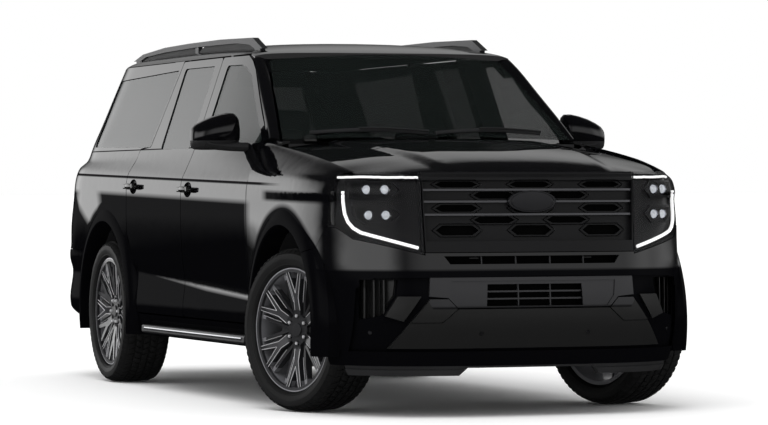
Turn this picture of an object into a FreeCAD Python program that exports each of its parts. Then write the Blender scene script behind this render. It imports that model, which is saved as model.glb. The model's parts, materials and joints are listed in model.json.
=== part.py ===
# Full-size three-row sport utility vehicle, modelled as an assembly of separate pieces.
# Millimetres. X points forward, Y to the left and Z up. The origin lies on the ground,
# halfway along the vehicle and on its centre line.
import FreeCAD, Part
import math
import os

V = FreeCAD.Vector

# Overall sizes
HALF_LENGTH = 2818.0
WHEELBASE = 3343.0
FRONT_OVERHANG = 985.0
TRACK = 1704.0
FRONT_AXLE_X = HALF_LENGTH - FRONT_OVERHANG
REAR_AXLE_X = FRONT_AXLE_X - WHEELBASE
SHUT_GAP = 8.0
SEAT_GAP = 0.3

# Wheels and tyres
TYRE_RADIUS = 417.0
TYRE_WIDTH = 284.0
RIM_RADIUS = 304.0
RIM_FLANGE_RADIUS = 315.0
RIM_HALF_WIDTH = 118.0
RIM_WALL = 9.0
HUB_RECESS = 34.0
HUB_RADIUS = 92.0
SPOKE_COUNT = 6
SPOKE_DEPTH = 34.0
SPOKE_STEP = 12.0
FORK_RADIUS = 172.0
STEM_HALF = 19.0
ARM_SPREAD = 54.0
TWIN_SPREAD = 96.0
CAP_RADIUS = 34.0
LUG_COUNT = 6
LUG_CIRCLE = 139.7
LUG_RADIUS = 13.0
HUB_BORE = 39.0
BRAKE_DISC_RADIUS = 190.0
BRAKE_DISC_WIDTH = 28.0
BRAKE_DISC_Y = -28.0
STEER_ANGLE = 17.9
KINGPIN_Y = 790.0

# Wheel arches
ARCH_CENTRE_Z = 445.0
ARCH_RADIUS = 500.0
FLARE_REACH = 1016.0
FLARE_EDGE = 6.0
FLARE_ROOT_Y = 900.0
FLARE_SHAPE = [(6.0, 0.0), (34.0, 3.0), (68.0, 14.0), (100.0, 32.0), (124.0, 56.0)]
LINER_WALL = 5.0

# Side panels
SILL_BOTTOM = 300.0
DOOR_BOTTOM = 430.0
BELT_Z = 1372.0
DRIP_Z = 1868.0
CREASE_REAR_Z = 1232.0
CREASE_SLOPE = 0.01866
LOW_CREASE_Z = 618.0
LOW_CREASE_SLOPE = 0.0426
TUMBLEHOME = 0.34
FRONT_TAPER = 40.0
DOOR_THICKNESS = 105.0
FRAME_THICKNESS = 45.0
PILLAR_THICKNESS = 45.0
PANEL_THICKNESS = 40.0
GLASS_THICKNESS = 5.0
GLASS_INSET = 6.0
DOOR_FRONT_X = 1232.0
DOOR_MIDDLE_X = 45.0
DOOR_REAR_X = -1045.0
DOOR_ARCH_RADIUS = 637.0
HINGE_SETBACK = 10.0
HINGE_Y = 1001.0

# Front end
NOSE_BOTTOM = 258.0
NOSE_START_X = 1850.0
NOSE_POWER = 3.3
HOOD_REAR_X = 1375.0
HOOD_THICKNESS = 28.0
HOOD_FRONT_X = 2750.0
SEAM_FRONT_X = 2483.0
FRONT_TOP_Z = 1460.0

# Tail
TAIL_TOP_X = 2510.0
GATE_CUT_X = -2328.0
GATE_BOTTOM = 792.0
BUMPER_TOP_Z = 772.0

# Cabin
FLOOR_Z = 392.0
FLOOR_THICKNESS = 26.0
LOAD_FLOOR_Z = 760.0
RAIL_Y = 380.0
RAIL_WIDTH = 70.0
RAIL_BOTTOM = 290.0
RAIL_HEIGHT = 95.0
RAIL_KICK = 210.0


def lerp_table(table, value):
    """Read a smooth value off a short table of (input, output) pairs."""
    if value <= table[0][0]:
        return table[0][1]
    for (a, fa), (b, fb) in zip(table, table[1:]):
        if value <= b:
            return fa + (fb - fa) * (value - a) / (b - a)
    return table[-1][1]


def chord_steps(lines):
    """Shared parameters along a family of lines, from their average spacing."""
    count = len(lines[0])
    steps = [0.0]
    for i in range(1, count):
        steps.append(steps[-1] + sum(line[i].distanceToPoint(line[i - 1]) for line in lines) / len(lines))
    return [s / steps[-1] for s in steps]


def curve_with(points, steps):
    curve = Part.BSplineCurve()
    curve.interpolate(Points=points, Parameters=steps)
    return curve


def face_from_grid(rows):
    """Smooth skin through a grid of points: first along the rows, then across them."""
    along = chord_steps(rows)
    columns = [list(c) for c in zip(*rows)]
    across = chord_steps(columns)
    first = [curve_with(row, along) for row in rows]
    pole_columns = zip(*[c.getPoles() for c in first])
    second = [curve_with(list(column), across) for column in pole_columns]
    poles = [c.getPoles() for c in second]
    surface = Part.BSplineSurface()
    surface.buildFromPolesMultsKnots(poles, first[0].getMultiplicities(), second[0].getMultiplicities(),
                                     first[0].getKnots(), second[0].getKnots(), False, False, 3, 3)
    return surface.toShape()


def prism(points, axis, start, end):
    """Extrude a closed outline, given in the plane across the axis, from start to end."""
    corners = [place(p, axis, start) for p in points]
    wire = Part.makePolygon(corners + [corners[0]])
    return Part.Face(wire).extrude(place((0.0, 0.0), axis, end - start))


def place(point, axis, depth):
    if axis == "x":
        return V(depth, point[0], point[1])
    if axis == "y":
        return V(point[0], depth, point[1])
    return V(point[0], point[1], depth)


def box(x0, x1, y0, y1, z0, z1):
    return Part.makeBox(x1 - x0, y1 - y0, z1 - z0, V(x0, y0, z0))


def mirrored(shape):
    return shape.mirror(V(0, 0, 0), V(0, 1, 0))


def both_sides(shape):
    return Part.makeCompound([shape, mirrored(shape)])


def fused(shapes):
    result = shapes[0]
    if len(shapes) > 1:
        result = shapes[0].multiFuse(shapes[1:])
    return result.removeSplitter()


def cylinder_y(x, z, radius, y0, y1):
    return Part.makeCylinder(radius, y1 - y0, V(x, y0, z), V(0, 1, 0))


def tube_between(start, end, radius):
    direction = end.sub(start)
    return Part.makeCylinder(radius, direction.Length, start, direction)


def solids_of(shape, smallest=2.0e4):
    """Keep the real pieces of a cut and drop specks that it leaves behind."""
    return [s for s in shape.Solids if s.Volume > smallest]


def save(name, shape, smallest=2.0e4):
    kept = solids_of(shape, smallest)
    body = kept[0] if len(kept) == 1 else Part.makeCompound(kept)
    valid = body.isValid()
    print(name, len(kept), "solids", round(body.Volume / 1.0e6, 2), "litres", "valid" if valid else "INVALID")
    os.makedirs("parts", exist_ok=True)
    body.exportStep("parts/" + name + ".step")


# Outer skin of the body side, as the half width at a station and a level
SIDE_LEVELS = [300, 370, 430, 520, "low", 700, 850, 1000, 1090, "under", "crease", "over", 1300, 1345,
               BELT_Z, 1500, 1650, 1800, DRIP_Z]
SIDE_WIDTHS = [925, 965, 984, 985, 974, 983, 995, 1000, 999, 996, 990, 974, 940, 921, 912]


def crease_z(x):
    return CREASE_REAR_Z - (x + 2121.0) * CREASE_SLOPE


def low_crease_z(x):
    return LOW_CREASE_Z - (max(x, DOOR_REAR_X) - 200.0) * LOW_CREASE_SLOPE


def level_z(level, x):
    named = {"low": low_crease_z(x), "under": crease_z(x) - 30.0, "crease": crease_z(x), "over": crease_z(x) + 35.0}
    return named[level] if level in named else float(level)


def taper(x, z):
    """The cabin narrows towards the windshield, and only above the shoulder."""
    run = max(0.0, (x - 200.0) / 1000.0)
    share = min(1.0, max(0.0, (z - 1210.0) / (BELT_Z - 1210.0)))
    return FRONT_TAPER * run * run * share


def side_width(level, index, x):
    z = level_z(level, x)
    if index < len(SIDE_WIDTHS):
        width = float(SIDE_WIDTHS[index])
    else:
        width = SIDE_WIDTHS[-1] - TUMBLEHOME * (z - BELT_Z)
    return width - taper(x, z)


def side_y(x, z):
    """Half width of the side skin by linear reading between the levels."""
    table = [(level_z(level, x), side_width(level, i, x)) for i, level in enumerate(SIDE_LEVELS)]
    return lerp_table(table, z)


def side_slab(x0, x1, depth0, depth1):
    """The left side skin between two stations, as a slab between two depths inward."""
    count = max(3, int((x1 - x0) / 220.0) + 1)
    stations = [x0 + (x1 - x0) * i / (count - 1) for i in range(count)]
    rows = []
    for i, level in enumerate(SIDE_LEVELS):
        rows.append([V(x, side_width(level, i, x) - depth0, level_z(level, x)) for x in stations])
    return face_from_grid(rows).extrude(V(0, depth0 - depth1, 0))


# Plan curve of a body corner: a squarish ellipse read off by its polar angle
def corner_point(length, width, power, angle):
    c = math.cos(angle)
    s = math.sin(angle)
    reach = (c ** power + s ** power) ** (-1.0 / power)
    return length * c * reach, width * s * reach


NOSE_REACH = [(200, 2735), (258, 2768), (343, 2790), (420, 2808), (560, 2814), (620, 2813), (700, 2802), (800, 2790),
              (900, 2776), (1000, 2768), (1100, 2762), (1190, 2756), (1216, 2750), (1226, 2726), (1312, 2716), (1460, 2714)]
NOSE_WIDTH = [(200, 925), (258, 948), (343, 972), (420, 985), (560, 992), (700, 1000), (900, 1000), (1000, 998),
              (1100, 992)]
SEAM_WIDTH = [(1236, 882), (1500, 872), (2050, 862), (2300, 875), (2483, 927), (2800, 927)]
SEAM_Z = [(1236, 1376), (1500, 1352), (1750, 1325), (2050, 1290), (2300, 1252), (2483, 1216), (2900, 1216)]
SEAM_Y = [(1236, 882), (1500, 872), (2050, 860), (2300, 848), (2483, 827)]
FRONT_LEVELS = [200, 258, 343, 430, 560, 700, 850, 1000, 1085, "under", "crease", "over", "mid", "seam", "lip",
                "riser", FRONT_TOP_Z]
CORNER_STEPS = 12
SIDE_STEPS = 5


def front_row(level, step, inset):
    """One point of the front skin. The first steps run along the fender, the rest round the nose."""
    if step < SIDE_STEPS:
        x_plan = DOOR_FRONT_X - 60.0 + (NOSE_START_X - DOOR_FRONT_X + 60.0) * step / SIDE_STEPS
        angle = math.pi / 2
    else:
        angle = math.pi / 2 * (1.0 - (step - SIDE_STEPS) / CORNER_STEPS)
        x_plan = NOSE_START_X + corner_point(905.0, 1000.0, NOSE_POWER, angle)[0]
    crease = crease_z(x_plan)
    seam = lerp_table(SEAM_Z, x_plan)
    over = crease + 0.35 * (seam - crease) * 0.5 + 12.0
    named = {"under": crease - 30.0, "crease": crease, "over": over, "mid": 0.5 * (over + seam), "seam": seam,
             "lip": seam + 0.04 * (FRONT_TOP_Z - seam), "riser": seam + 0.4 * (FRONT_TOP_Z - seam)}
    z = named[level] if level in named else float(level)
    seam_width = lerp_table(SEAM_WIDTH, x_plan)
    if level == "under":
        width = 996.0
    elif level == "crease":
        width = 990.0
    elif level == "over":
        width = 978.0
    elif level == "mid":
        width = seam_width + 0.56 * (978.0 - seam_width)
    elif level == "seam":
        width = seam_width
    elif level == "lip":
        width = seam_width - 24.0
    elif level == "riser" or z > FRONT_TOP_Z - 1.0:
        width = seam_width - 34.0
    else:
        lower = lerp_table(NOSE_WIDTH, z)
        behind = side_y(DOOR_FRONT_X, z)
        blend = min(1.0, max(0.0, (x_plan - DOOR_FRONT_X) / (NOSE_START_X - DOOR_FRONT_X)))
        width = behind + (lower - behind) * blend
    if step < SIDE_STEPS:
        return V(x_plan, width - inset, z)
    length = lerp_table(NOSE_REACH, z) - NOSE_START_X
    dx, dy = corner_point(length - inset, width - inset, NOSE_POWER, angle)
    return V(NOSE_START_X + dx, dy, z)


def closed_half(rows, back_x):
    """Close a skin that runs from a cross plane to the centre plane into a solid half."""
    skin = face_from_grid(rows)
    low, high = rows[0], rows[-1]
    z0, z1 = low[0].z, high[0].z
    b0, b1 = V(back_x, 0, z0), V(back_x, 0, z1)

    def border(inside):
        return [e for e in skin.Edges if all(inside(v.Point) for v in e.Vertexes)][0]

    bottom_edge = border(lambda p: abs(p.z - z0) < 0.01)
    top_edge = border(lambda p: abs(p.z - z1) < 0.01)
    side_edge = border(lambda p: abs(p.x - back_x) < 0.01)
    middle_edge = border(lambda p: abs(p.y) < 0.01)
    upright = Part.LineSegment(b0, b1).toShape()
    floor_back = Part.LineSegment(b0, low[0]).toShape()
    floor_mid = Part.LineSegment(b0, low[-1]).toShape()
    roof_back = Part.LineSegment(b1, high[0]).toShape()
    roof_mid = Part.LineSegment(b1, high[-1]).toShape()
    faces = [skin]
    for loop in ([bottom_edge, floor_back, floor_mid], [top_edge, roof_back, roof_mid],
                 [side_edge, floor_back, roof_back, upright], [middle_edge, floor_mid, roof_mid, upright]):
        faces.append(Part.Face(Part.Wire(Part.__sortEdges__(loop))))
    shell = Part.Shell(faces)
    solid = Part.makeSolid(shell)
    if solid.Volume < 0:
        solid.reverse()
    return solid


def skin_of(half):
    """The curved outer face of a closed half."""
    return max(half.Faces, key=lambda f: len(f.Surface.getPoles()) if hasattr(f.Surface, "getPoles") else 0)


def rounded_wire(points, radius, axis, depth):
    """A closed outline with every corner rounded by an arc."""
    count = len(points)
    edges = []
    starts = []
    ends = []
    arcs = []
    for i in range(count):
        before = V(points[i - 1][0], points[i - 1][1], 0)
        corner = V(points[i][0], points[i][1], 0)
        after = V(points[(i + 1) % count][0], points[(i + 1) % count][1], 0)
        back = before.sub(corner)
        ahead = after.sub(corner)
        room = 0.42 * min(back.Length, ahead.Length)
        back.normalize()
        ahead.normalize()
        half = math.acos(max(-1.0, min(1.0, back.dot(ahead)))) / 2.0
        reach = min(radius / math.tan(half), room)
        bulge = reach * math.tan(half)
        middle = back.add(ahead)
        if half > 1.55 or middle.Length < 1e-6:
            starts.append(corner)
            ends.append(corner)
            arcs.append(None)
            continue
        middle.normalize()
        centre = corner.add(middle.multiply(bulge / math.sin(half)))
        toward = corner.sub(centre)
        toward.normalize()
        starts.append(corner.add(back.multiply(reach)))
        ends.append(corner.add(ahead.multiply(reach)))
        arcs.append(centre.add(toward.multiply(bulge)))

    def lift(p):
        return place((p.x, p.y), axis, depth)

    for i in range(count):
        if arcs[i] is not None:
            edges.append(Part.Arc(lift(starts[i]), lift(arcs[i]), lift(ends[i])).toShape())
        tail, head = ends[i], starts[(i + 1) % count]
        if tail.distanceToPoint(head) > 0.01:
            edges.append(Part.LineSegment(lift(tail), lift(head)).toShape())
    return Part.Wire(edges)


def panel(points, axis, start, end, radius=0.0, grow=0.0):
    """Extrude an outline, rounded and grown if asked, between two depths."""
    if radius > 0.0:
        wire = rounded_wire(points, radius, axis, start)
    else:
        corners = [place(p, axis, start) for p in points]
        wire = Part.makePolygon(corners + [corners[0]])
    if grow != 0.0:
        wire = wire.makeOffset2D(grow, 2)
    return Part.Face(wire).extrude(place((0.0, 0.0), axis, end - start))


def rounded_box(x0, x1, y0, y1, z0, z1, radius):
    solid = box(x0, x1, y0, y1, z0, z1)
    return solid.makeFillet(radius, solid.Edges)


# Front skin as two nested halves
def front_half(inset):
    rows = [[front_row(level, step, inset) for step in range(SIDE_STEPS + CORNER_STEPS + 1)] for level in FRONT_LEVELS]
    return closed_half(rows, DOOR_FRONT_X - 60.0)


TAIL_LEVELS = [300, 370, 430, 520, "low", 700, 757, 792, 850, 1000, 1090, "under", "crease", "over", 1300, BELT_Z,
               1500, 1650, 1800, DRIP_Z]
TAIL_REACH = [(300, 2770), (370, 2795), (430, 2808), (520, 2816), (618, 2818), (700, 2818), (757, 2815), (792, 2768),
              (850, 2757), (1000, 2747), (1211, 2726), (1290, 2712), (1372, 2698), (1500, 2660), (1650, 2604),
              (1800, 2543), (DRIP_Z, TAIL_TOP_X)]
TAIL_START = [(300, 2100), (760, 2100), (1394, 1900), (DRIP_Z, 1700)]
TAIL_POWER = [(300, 3.3), (760, 3.3), (1394, 2.6), (DRIP_Z, 2.6)]
TAIL_SIDE_STEPS = 7
TAIL_FRONT_X = -640.0


def tail_row(level, step, inset):
    """One point of the rear skin: along the quarter panel first, then round the corner."""
    z = level_z(level, -1900.0)
    begin = -lerp_table(TAIL_START, z)
    if step < TAIL_SIDE_STEPS:
        x = TAIL_FRONT_X + (begin - TAIL_FRONT_X) * step / TAIL_SIDE_STEPS
        z = level_z(level, x)
        return V(x, side_y(x, z) - inset, z)
    angle = math.pi / 2 * (1.0 - (step - TAIL_SIDE_STEPS) / CORNER_STEPS)
    width = side_y(begin, z) - inset
    length = lerp_table(TAIL_REACH, z) + begin - inset
    dx, dy = corner_point(length, width, lerp_table(TAIL_POWER, z), angle)
    return V(begin - dx, dy, level_z(level, begin - dx))


def tail_half(inset):
    rows = [[tail_row(level, step, inset) for step in range(TAIL_SIDE_STEPS + CORNER_STEPS + 1)]
            for level in TAIL_LEVELS]
    return closed_half(rows, TAIL_FRONT_X)


def flare(axle_x):
    """The raised lip round a wheel arch: a soft bulge turned about the arch's centre."""
    lip = V(axle_x + ARCH_RADIUS, FLARE_REACH - FLARE_EDGE, ARCH_CENTRE_Z)
    crown = [V(axle_x + ARCH_RADIUS + out, FLARE_REACH - sink, ARCH_CENTRE_Z) for out, sink in FLARE_SHAPE]
    root_out = V(crown[-1].x, FLARE_ROOT_Y, ARCH_CENTRE_Z)
    root_in = V(axle_x + ARCH_RADIUS, FLARE_ROOT_Y, ARCH_CENTRE_Z)
    curve = Part.BSplineCurve()
    curve.interpolate(Points=crown)
    edges = [Part.LineSegment(root_in, lip).toShape(), Part.LineSegment(lip, crown[0]).toShape(), curve.toShape(),
             Part.LineSegment(crown[-1], root_out).toShape(), Part.LineSegment(root_out, root_in).toShape()]
    return Part.Face(Part.Wire(edges)).revolve(V(axle_x, 0, ARCH_CENTRE_Z), V(0, 1, 0), 360)


def arch_cut(axle_x, radius):
    return cylinder_y(axle_x, ARCH_CENTRE_Z, radius, 480.0, 1200.0).fuse(
        box(axle_x - radius, axle_x + radius, 480.0, 1200.0, -10.0, ARCH_CENTRE_Z))


# Roof
ROOF_STATIONS = [690.0, 560.0, 400.0, 100.0, -300.0, -700.0, -1100.0, -1500.0, -1800.0, -2050.0, -2250.0, -2380.0,
                 -2480.0]
ROOF_CROWN = [(-2520, 1893), (-2440, 1905), (-2000, 1935), (-1500, 1955), (-1000, 1962), (-500, 1962), (0, 1950),
              (250, 1935), (500, 1905), (650, 1873), (700, 1860)]
ROOF_EDGE = [(-2600, DRIP_Z), (480, DRIP_Z), (600, 1852), (690, 1822)]
ROOF_SHARE = [(0.0, 0.0), (0.28, 0.03), (0.52, 0.11), (0.72, 0.25), (0.86, 0.43), (0.95, 0.68), (1.0, 1.0)]
ROOF_THICKNESS = 30.0


def roof_half_width(x):
    begin = -lerp_table(TAIL_START, DRIP_Z)
    if x > begin:
        return side_y(x, DRIP_Z)
    length = TAIL_TOP_X + begin
    share = min(0.999, (begin - x) / length)
    power = lerp_table(TAIL_POWER, DRIP_Z)
    return side_y(begin, DRIP_Z) * (1.0 - share ** power) ** (1.0 / power)


def roof_slab():
    rows = []
    for x in ROOF_STATIONS:
        half = roof_half_width(x)
        crown = lerp_table(ROOF_CROWN, x)
        edge = lerp_table(ROOF_EDGE, x)
        line = [V(x, half * v, crown - (crown - edge) * share) for v, share in ROOF_SHARE]
        rows.append([V(p.x, -p.y, p.z) for p in reversed(line[1:])] + line)
    return face_from_grid(rows).extrude(V(0, 0, -ROOF_THICKNESS))


# Windshield
SHIELD_BASE = (1358.0, 1290.0, 1403.0, 1388.0, 821.0)
SHIELD_TOP = (650.0, 600.0, 1873.0, 1839.0, 671.0)
SHIELD_BOW = 10.0


def shield_point(share, side):
    """A point of the windshield: share runs from base to header, side from -1 to 1."""
    y_half = SHIELD_BASE[4] + (SHIELD_TOP[4] - SHIELD_BASE[4]) * share
    bow = 4.0 * share * (1.0 - share) * SHIELD_BOW
    low = V(SHIELD_BASE[0] - (SHIELD_BASE[0] - SHIELD_BASE[1]) * side * side, 0,
            SHIELD_BASE[2] - (SHIELD_BASE[2] - SHIELD_BASE[3]) * side * side)
    high = V(SHIELD_TOP[0] - (SHIELD_TOP[0] - SHIELD_TOP[1]) * side * side, 0,
             SHIELD_TOP[2] - (SHIELD_TOP[2] - SHIELD_TOP[3]) * side * side)
    point = low.add(high.sub(low).multiply(share))
    return V(point.x + 0.56 * bow, y_half * side, point.z + 0.83 * bow)


def windshield():
    low_share, high_share, width_share = 0.012, 0.982, 0.99
    rows = []
    for i in range(6):
        share = low_share + (high_share - low_share) * i / 5.0
        rows.append([shield_point(share, width_share * (j - 5) / 5.0) for j in range(11)])
    return face_from_grid(rows).extrude(V(-0.56 * GLASS_THICKNESS, 0, -0.83 * GLASS_THICKNESS))


# Outlines of the doors and windows, in side view
FRAME_LINE = [(1172, 1386), (1075, 1476), (861, 1638), (680, 1778), (590, 1828), (500, 1860)]
FRONT_DOOR = [(DOOR_FRONT_X, DOOR_BOTTOM), (DOOR_FRONT_X, 1335)] + FRAME_LINE + [
    (DOOR_MIDDLE_X + SHUT_GAP / 2, 1863), (DOOR_MIDDLE_X + SHUT_GAP / 2, DOOR_BOTTOM)]
FRONT_WINDOW = [(1128, BELT_Z + 6), (1049, 1443), (836, 1604), (651, 1744), (530, 1794), (430, 1812),
                (172, 1816), (172, BELT_Z - 14)]
REAR_WINDOW = [(-62, 1820), (-638, 1822), (-622, BELT_Z - 10), (-62, BELT_Z - 14)]
REAR_FRAME_LINE = [(-705, 1863), (-835, BELT_Z + 4), (DOOR_REAR_X + 14, BELT_Z - 8)]
QUARTER_WINDOW = [(-742, 1818), (-2035, 1788), (-2072, BELT_Z + 18), (-866, BELT_Z + 4)]


def arch_points(axle_x, radius, z_start, z_end, count):
    """Points along an arch line from one level to another, on its front side."""
    points = []
    for i in range(count + 1):
        z = z_start + (z_end - z_start) * i / count
        rise = z - ARCH_CENTRE_Z
        points.append((axle_x + math.sqrt(radius * radius - rise * rise), z))
    return points


REAR_DOOR_ARCH = arch_points(REAR_AXLE_X, DOOR_ARCH_RADIUS, 884.0, DOOR_BOTTOM, 6)
REAR_DOOR = [(DOOR_MIDDLE_X - SHUT_GAP / 2, DOOR_BOTTOM), (DOOR_MIDDLE_X - SHUT_GAP / 2, 1863)] + REAR_FRAME_LINE + [
    (DOOR_REAR_X, BELT_Z - 30), (DOOR_REAR_X, 940)] + REAR_DOOR_ARCH

# The body side between the doors' cuts, at three depths
MID_START = DOOR_REAR_X - 60.0
MID_END = DOOR_FRONT_X + 60.0
OUTER_SLAB = side_slab(MID_START, MID_END, 0.0, FRAME_THICKNESS)
INNER_SLAB = side_slab(MID_START, MID_END, FRAME_THICKNESS, DOOR_THICKNESS)
PILLAR_SLAB = side_slab(MID_START, MID_END, DOOR_THICKNESS + SHUT_GAP, DOOR_THICKNESS + SHUT_GAP + PILLAR_THICKNESS)
RAIL_SLAB = side_slab(MID_START, MID_END, FRAME_THICKNESS + SHUT_GAP, FRAME_THICKNESS + SHUT_GAP + PILLAR_THICKNESS)
NEAR = 500.0
FAR = 1300.0
DOOR_CORNER = 22.0
INNER_INSET = 16.0


def oval(cx, cy, cz, rx, ry, rz):
    """A solid oval with three half axes."""
    ball = Part.makeSphere(1.0)
    stretch = FreeCAD.Matrix()
    stretch.scale(rx, ry, rz)
    stretch.move(V(cx, cy, cz))
    return ball.transformGeometry(stretch)


CUP_LENGTH = 78.0
CUP_DEPTH = 26.0
CUP_HEIGHT = 44.0


def handle(x, z):
    """A loop handle on two posts, with its grip clear of the skin."""
    skin = side_y(x, z)
    grip = rounded_box(x - 96.0, x + 96.0, skin + 20.0, skin + 38.0, z - 14.0, z + 14.0, 6.0)
    front_post = box(x + 66.0, x + 84.0, skin - 12.0, skin + 26.0, z - 9.0, z + 9.0)
    rear_post = box(x - 84.0, x - 66.0, skin - 12.0, skin + 26.0, z - 9.0, z + 9.0)
    return [grip, front_post, rear_post]


def door(outline, window, inner_outline, handle_spot):
    """A door as thick as the real one: framed skin above, deep box below the belt."""
    frame = OUTER_SLAB.common(panel(outline, "y", NEAR, FAR, DOOR_CORNER))
    frame = frame.cut(panel(window, "y", NEAR, FAR, 26.0))
    spot_x, spot_z = handle_spot
    frame = frame.cut(oval(spot_x, side_y(spot_x, spot_z) + 6.0, spot_z, CUP_LENGTH, CUP_DEPTH, CUP_HEIGHT))
    inner = INNER_SLAB.common(panel(inner_outline, "y", NEAR, FAR, DOOR_CORNER))
    return fused([frame, inner] + handle(*handle_spot))


def door_glass(window):
    slab = side_slab(MID_START, MID_END, GLASS_INSET, GLASS_INSET + GLASS_THICKNESS)
    return slab.common(panel(window, "y", NEAR, FAR, 26.0, -SEAT_GAP))


def front_inner_outline():
    return [(DOOR_FRONT_X - INNER_INSET, DOOR_BOTTOM + 12), (DOOR_FRONT_X - INNER_INSET, 1320), (1150, BELT_Z - 18),
            (DOOR_MIDDLE_X + INNER_INSET + 4, BELT_Z - 18), (DOOR_MIDDLE_X + INNER_INSET + 4, DOOR_BOTTOM + 12)]


def rear_inner_outline():
    arch = arch_points(REAR_AXLE_X, DOOR_ARCH_RADIUS + INNER_INSET, 880.0, DOOR_BOTTOM + 12, 5)
    return [(DOOR_MIDDLE_X - INNER_INSET - 4, DOOR_BOTTOM + 12), (DOOR_MIDDLE_X - INNER_INSET - 4, BELT_Z - 18),
            (DOOR_REAR_X + INNER_INSET, BELT_Z - 18), (DOOR_REAR_X + INNER_INSET, 940)] + arch


HANDLE_FRONT = (175.0, 1133.0)
HANDLE_REAR = (-905.0, 1152.0)
front_door = door(FRONT_DOOR, FRONT_WINDOW, front_inner_outline(), HANDLE_FRONT)
rear_door = door(REAR_DOOR, REAR_WINDOW, rear_inner_outline(), HANDLE_REAR)
front_glass = door_glass(FRONT_WINDOW)
rear_glass = door_glass(REAR_WINDOW)
for side, turn in (("left", lambda s: s), ("right", mirrored)):
    save("door_front_" + side, turn(front_door))
    save("door_rear_" + side, turn(rear_door))
    save("glass_front_" + side, turn(front_glass))
    save("glass_rear_" + side, turn(rear_glass))

# Mirrors
MIRROR_TIP_Y = 1186.0
MIRROR_ROOT_Y = 985.0
MIRROR_FRONT_X = 965.0
MIRROR_REAR_X = 852.0
MIRROR_BOTTOM = 1368.0
MIRROR_TOP = 1542.0


def mirror():
    middle_y = (MIRROR_ROOT_Y + MIRROR_TIP_Y) / 2
    half_y = (MIRROR_TIP_Y - MIRROR_ROOT_Y) / 2
    split = MIRROR_BOTTOM + 34.0
    block = rounded_box(MIRROR_REAR_X - 60.0, MIRROR_FRONT_X, MIRROR_ROOT_Y, MIRROR_TIP_Y, split - 120.0, MIRROR_TOP, 50.0)
    dome = block.common(oval(MIRROR_REAR_X - 10.0, middle_y, split - 10.0, (MIRROR_FRONT_X - MIRROR_REAR_X) * 1.18,
                             half_y * 1.22, (MIRROR_TOP - split) * 1.2))
    cap = dome.common(box(MIRROR_REAR_X, MIRROR_FRONT_X + 50.0, 900, 1300, split, MIRROR_TOP + 20.0))
    band = dome.common(box(MIRROR_REAR_X + 4.0, MIRROR_FRONT_X + 50.0, 900, 1300, split - 36.0, split))
    recess = oval(MIRROR_REAR_X - 2.0, middle_y, split + 60.0, 14.0, half_y - 16.0, 62.0)
    arm = panel([(860, 872), (985, 872), (985, 930), (950, 1080), (880, 1110), (860, 1080)], "z", MIRROR_BOTTOM,
                MIRROR_BOTTOM + 34.0)
    body = cap.fuse(band).cut(recess).fuse(arm)
    body = max(body.Solids, key=lambda s: s.Volume)
    return body.cut(side_slab(MID_START, MID_END, -SEAT_GAP, 150.0))


left_mirror = mirror()
save("mirror_left", left_mirror)
save("mirror_right", mirrored(left_mirror))

# Windshield and roof
save("windshield", windshield())
roof = roof_slab()
DRIP_CLEAR = 4.0
roof = roof.cut(box(-2330.0, 500.0, -1000.0, 1000.0, 1700.0, DRIP_Z + DRIP_CLEAR - 1.0))
corner_keep = [(499, 1700), (499, DRIP_Z + DRIP_CLEAR - 1.0), (596, 1838), (690, 1786), (760, 1730), (760, 1700)]
side_keep = panel(corner_keep, "y", 668.0, 1000.0)
header_keep = []
for i in range(9):
    share = (i - 4) / 4.0
    point = shield_point(1.0, 1.18 * share)
    header_keep.append((point.x - 4.0, point.y))
header_outline = header_keep + [(900, 900), (900, -900)]
roof = roof.cut(side_keep).cut(mirrored(side_keep)).cut(panel(header_outline, "z", 1700.0, 2000.0))
roof = roof.cut(box(-2700.0, GATE_CUT_X, -1000.0, 1000.0, 1600.0, 2100.0))
save("roof", roof)

# Front end
front_out = front_half(0.0)
front_in = front_half(PANEL_THICKNESS)
nose_shell = front_out.cut(front_in).fuse(flare(FRONT_AXLE_X).common(box(1000, 2700, 850, 1100, SILL_BOTTOM, 1200)))
nose_shell = nose_shell.cut(arch_cut(FRONT_AXLE_X, ARCH_RADIUS))

LAMP_OUTER_X = 2388.0
LAMP_OUTLINE = [(572, 1300), (1100, 1300), (1100, 968), (918, 942), (862, 886), (560, 808)]
GRILLE_OUTLINE = [(-0.5, 1300), (566, 1300), (554, 818), (-0.5, 818)]
LAMP_GAP = 4.0


def hood_outline(grow):
    """The hood in plan: a straight rear edge, the two seams and the curve of the nose."""
    left = []
    for x in (HOOD_REAR_X, 1500.0, 1750.0, 2050.0, 2300.0, SEAM_FRONT_X - 6.0):
        left.append((x, lerp_table(SEAM_Y, x) + grow))
    for i in range(1, 9):
        angle = math.radians(50.0) * (1.0 - i / 8.0)
        dx, dy = corner_point(HOOD_FRONT_X - NOSE_START_X + grow, 927.0 + grow, NOSE_POWER, angle)
        if dy < left[-1][1]:
            left.append((NOSE_START_X + dx, dy))
    rear = left[0][0] - grow
    left[0] = (rear, left[0][1])
    return left + [(x, -y) for x, y in reversed(left) if y > 1.0]


HOOD_CENTRE = [(1300, 1400), (1405, 1398), (1700, 1384), (2000, 1362), (2300, 1329), (2500, 1298), (2640, 1265),
               (2720, 1236), (2790, 1196)]
HOOD_STATIONS = [1340.0, 1500.0, 1700.0, 1900.0, 2100.0, 2300.0, 2450.0, 2560.0, 2650.0, 2720.0, 2790.0]
HOOD_HALF = 930.0
DOME_EDGE = [(1340, 590), (2000, 520), (2790, 430)]
DOME_HEIGHT = 13.0
DOME_BLEND = 34.0


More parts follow.
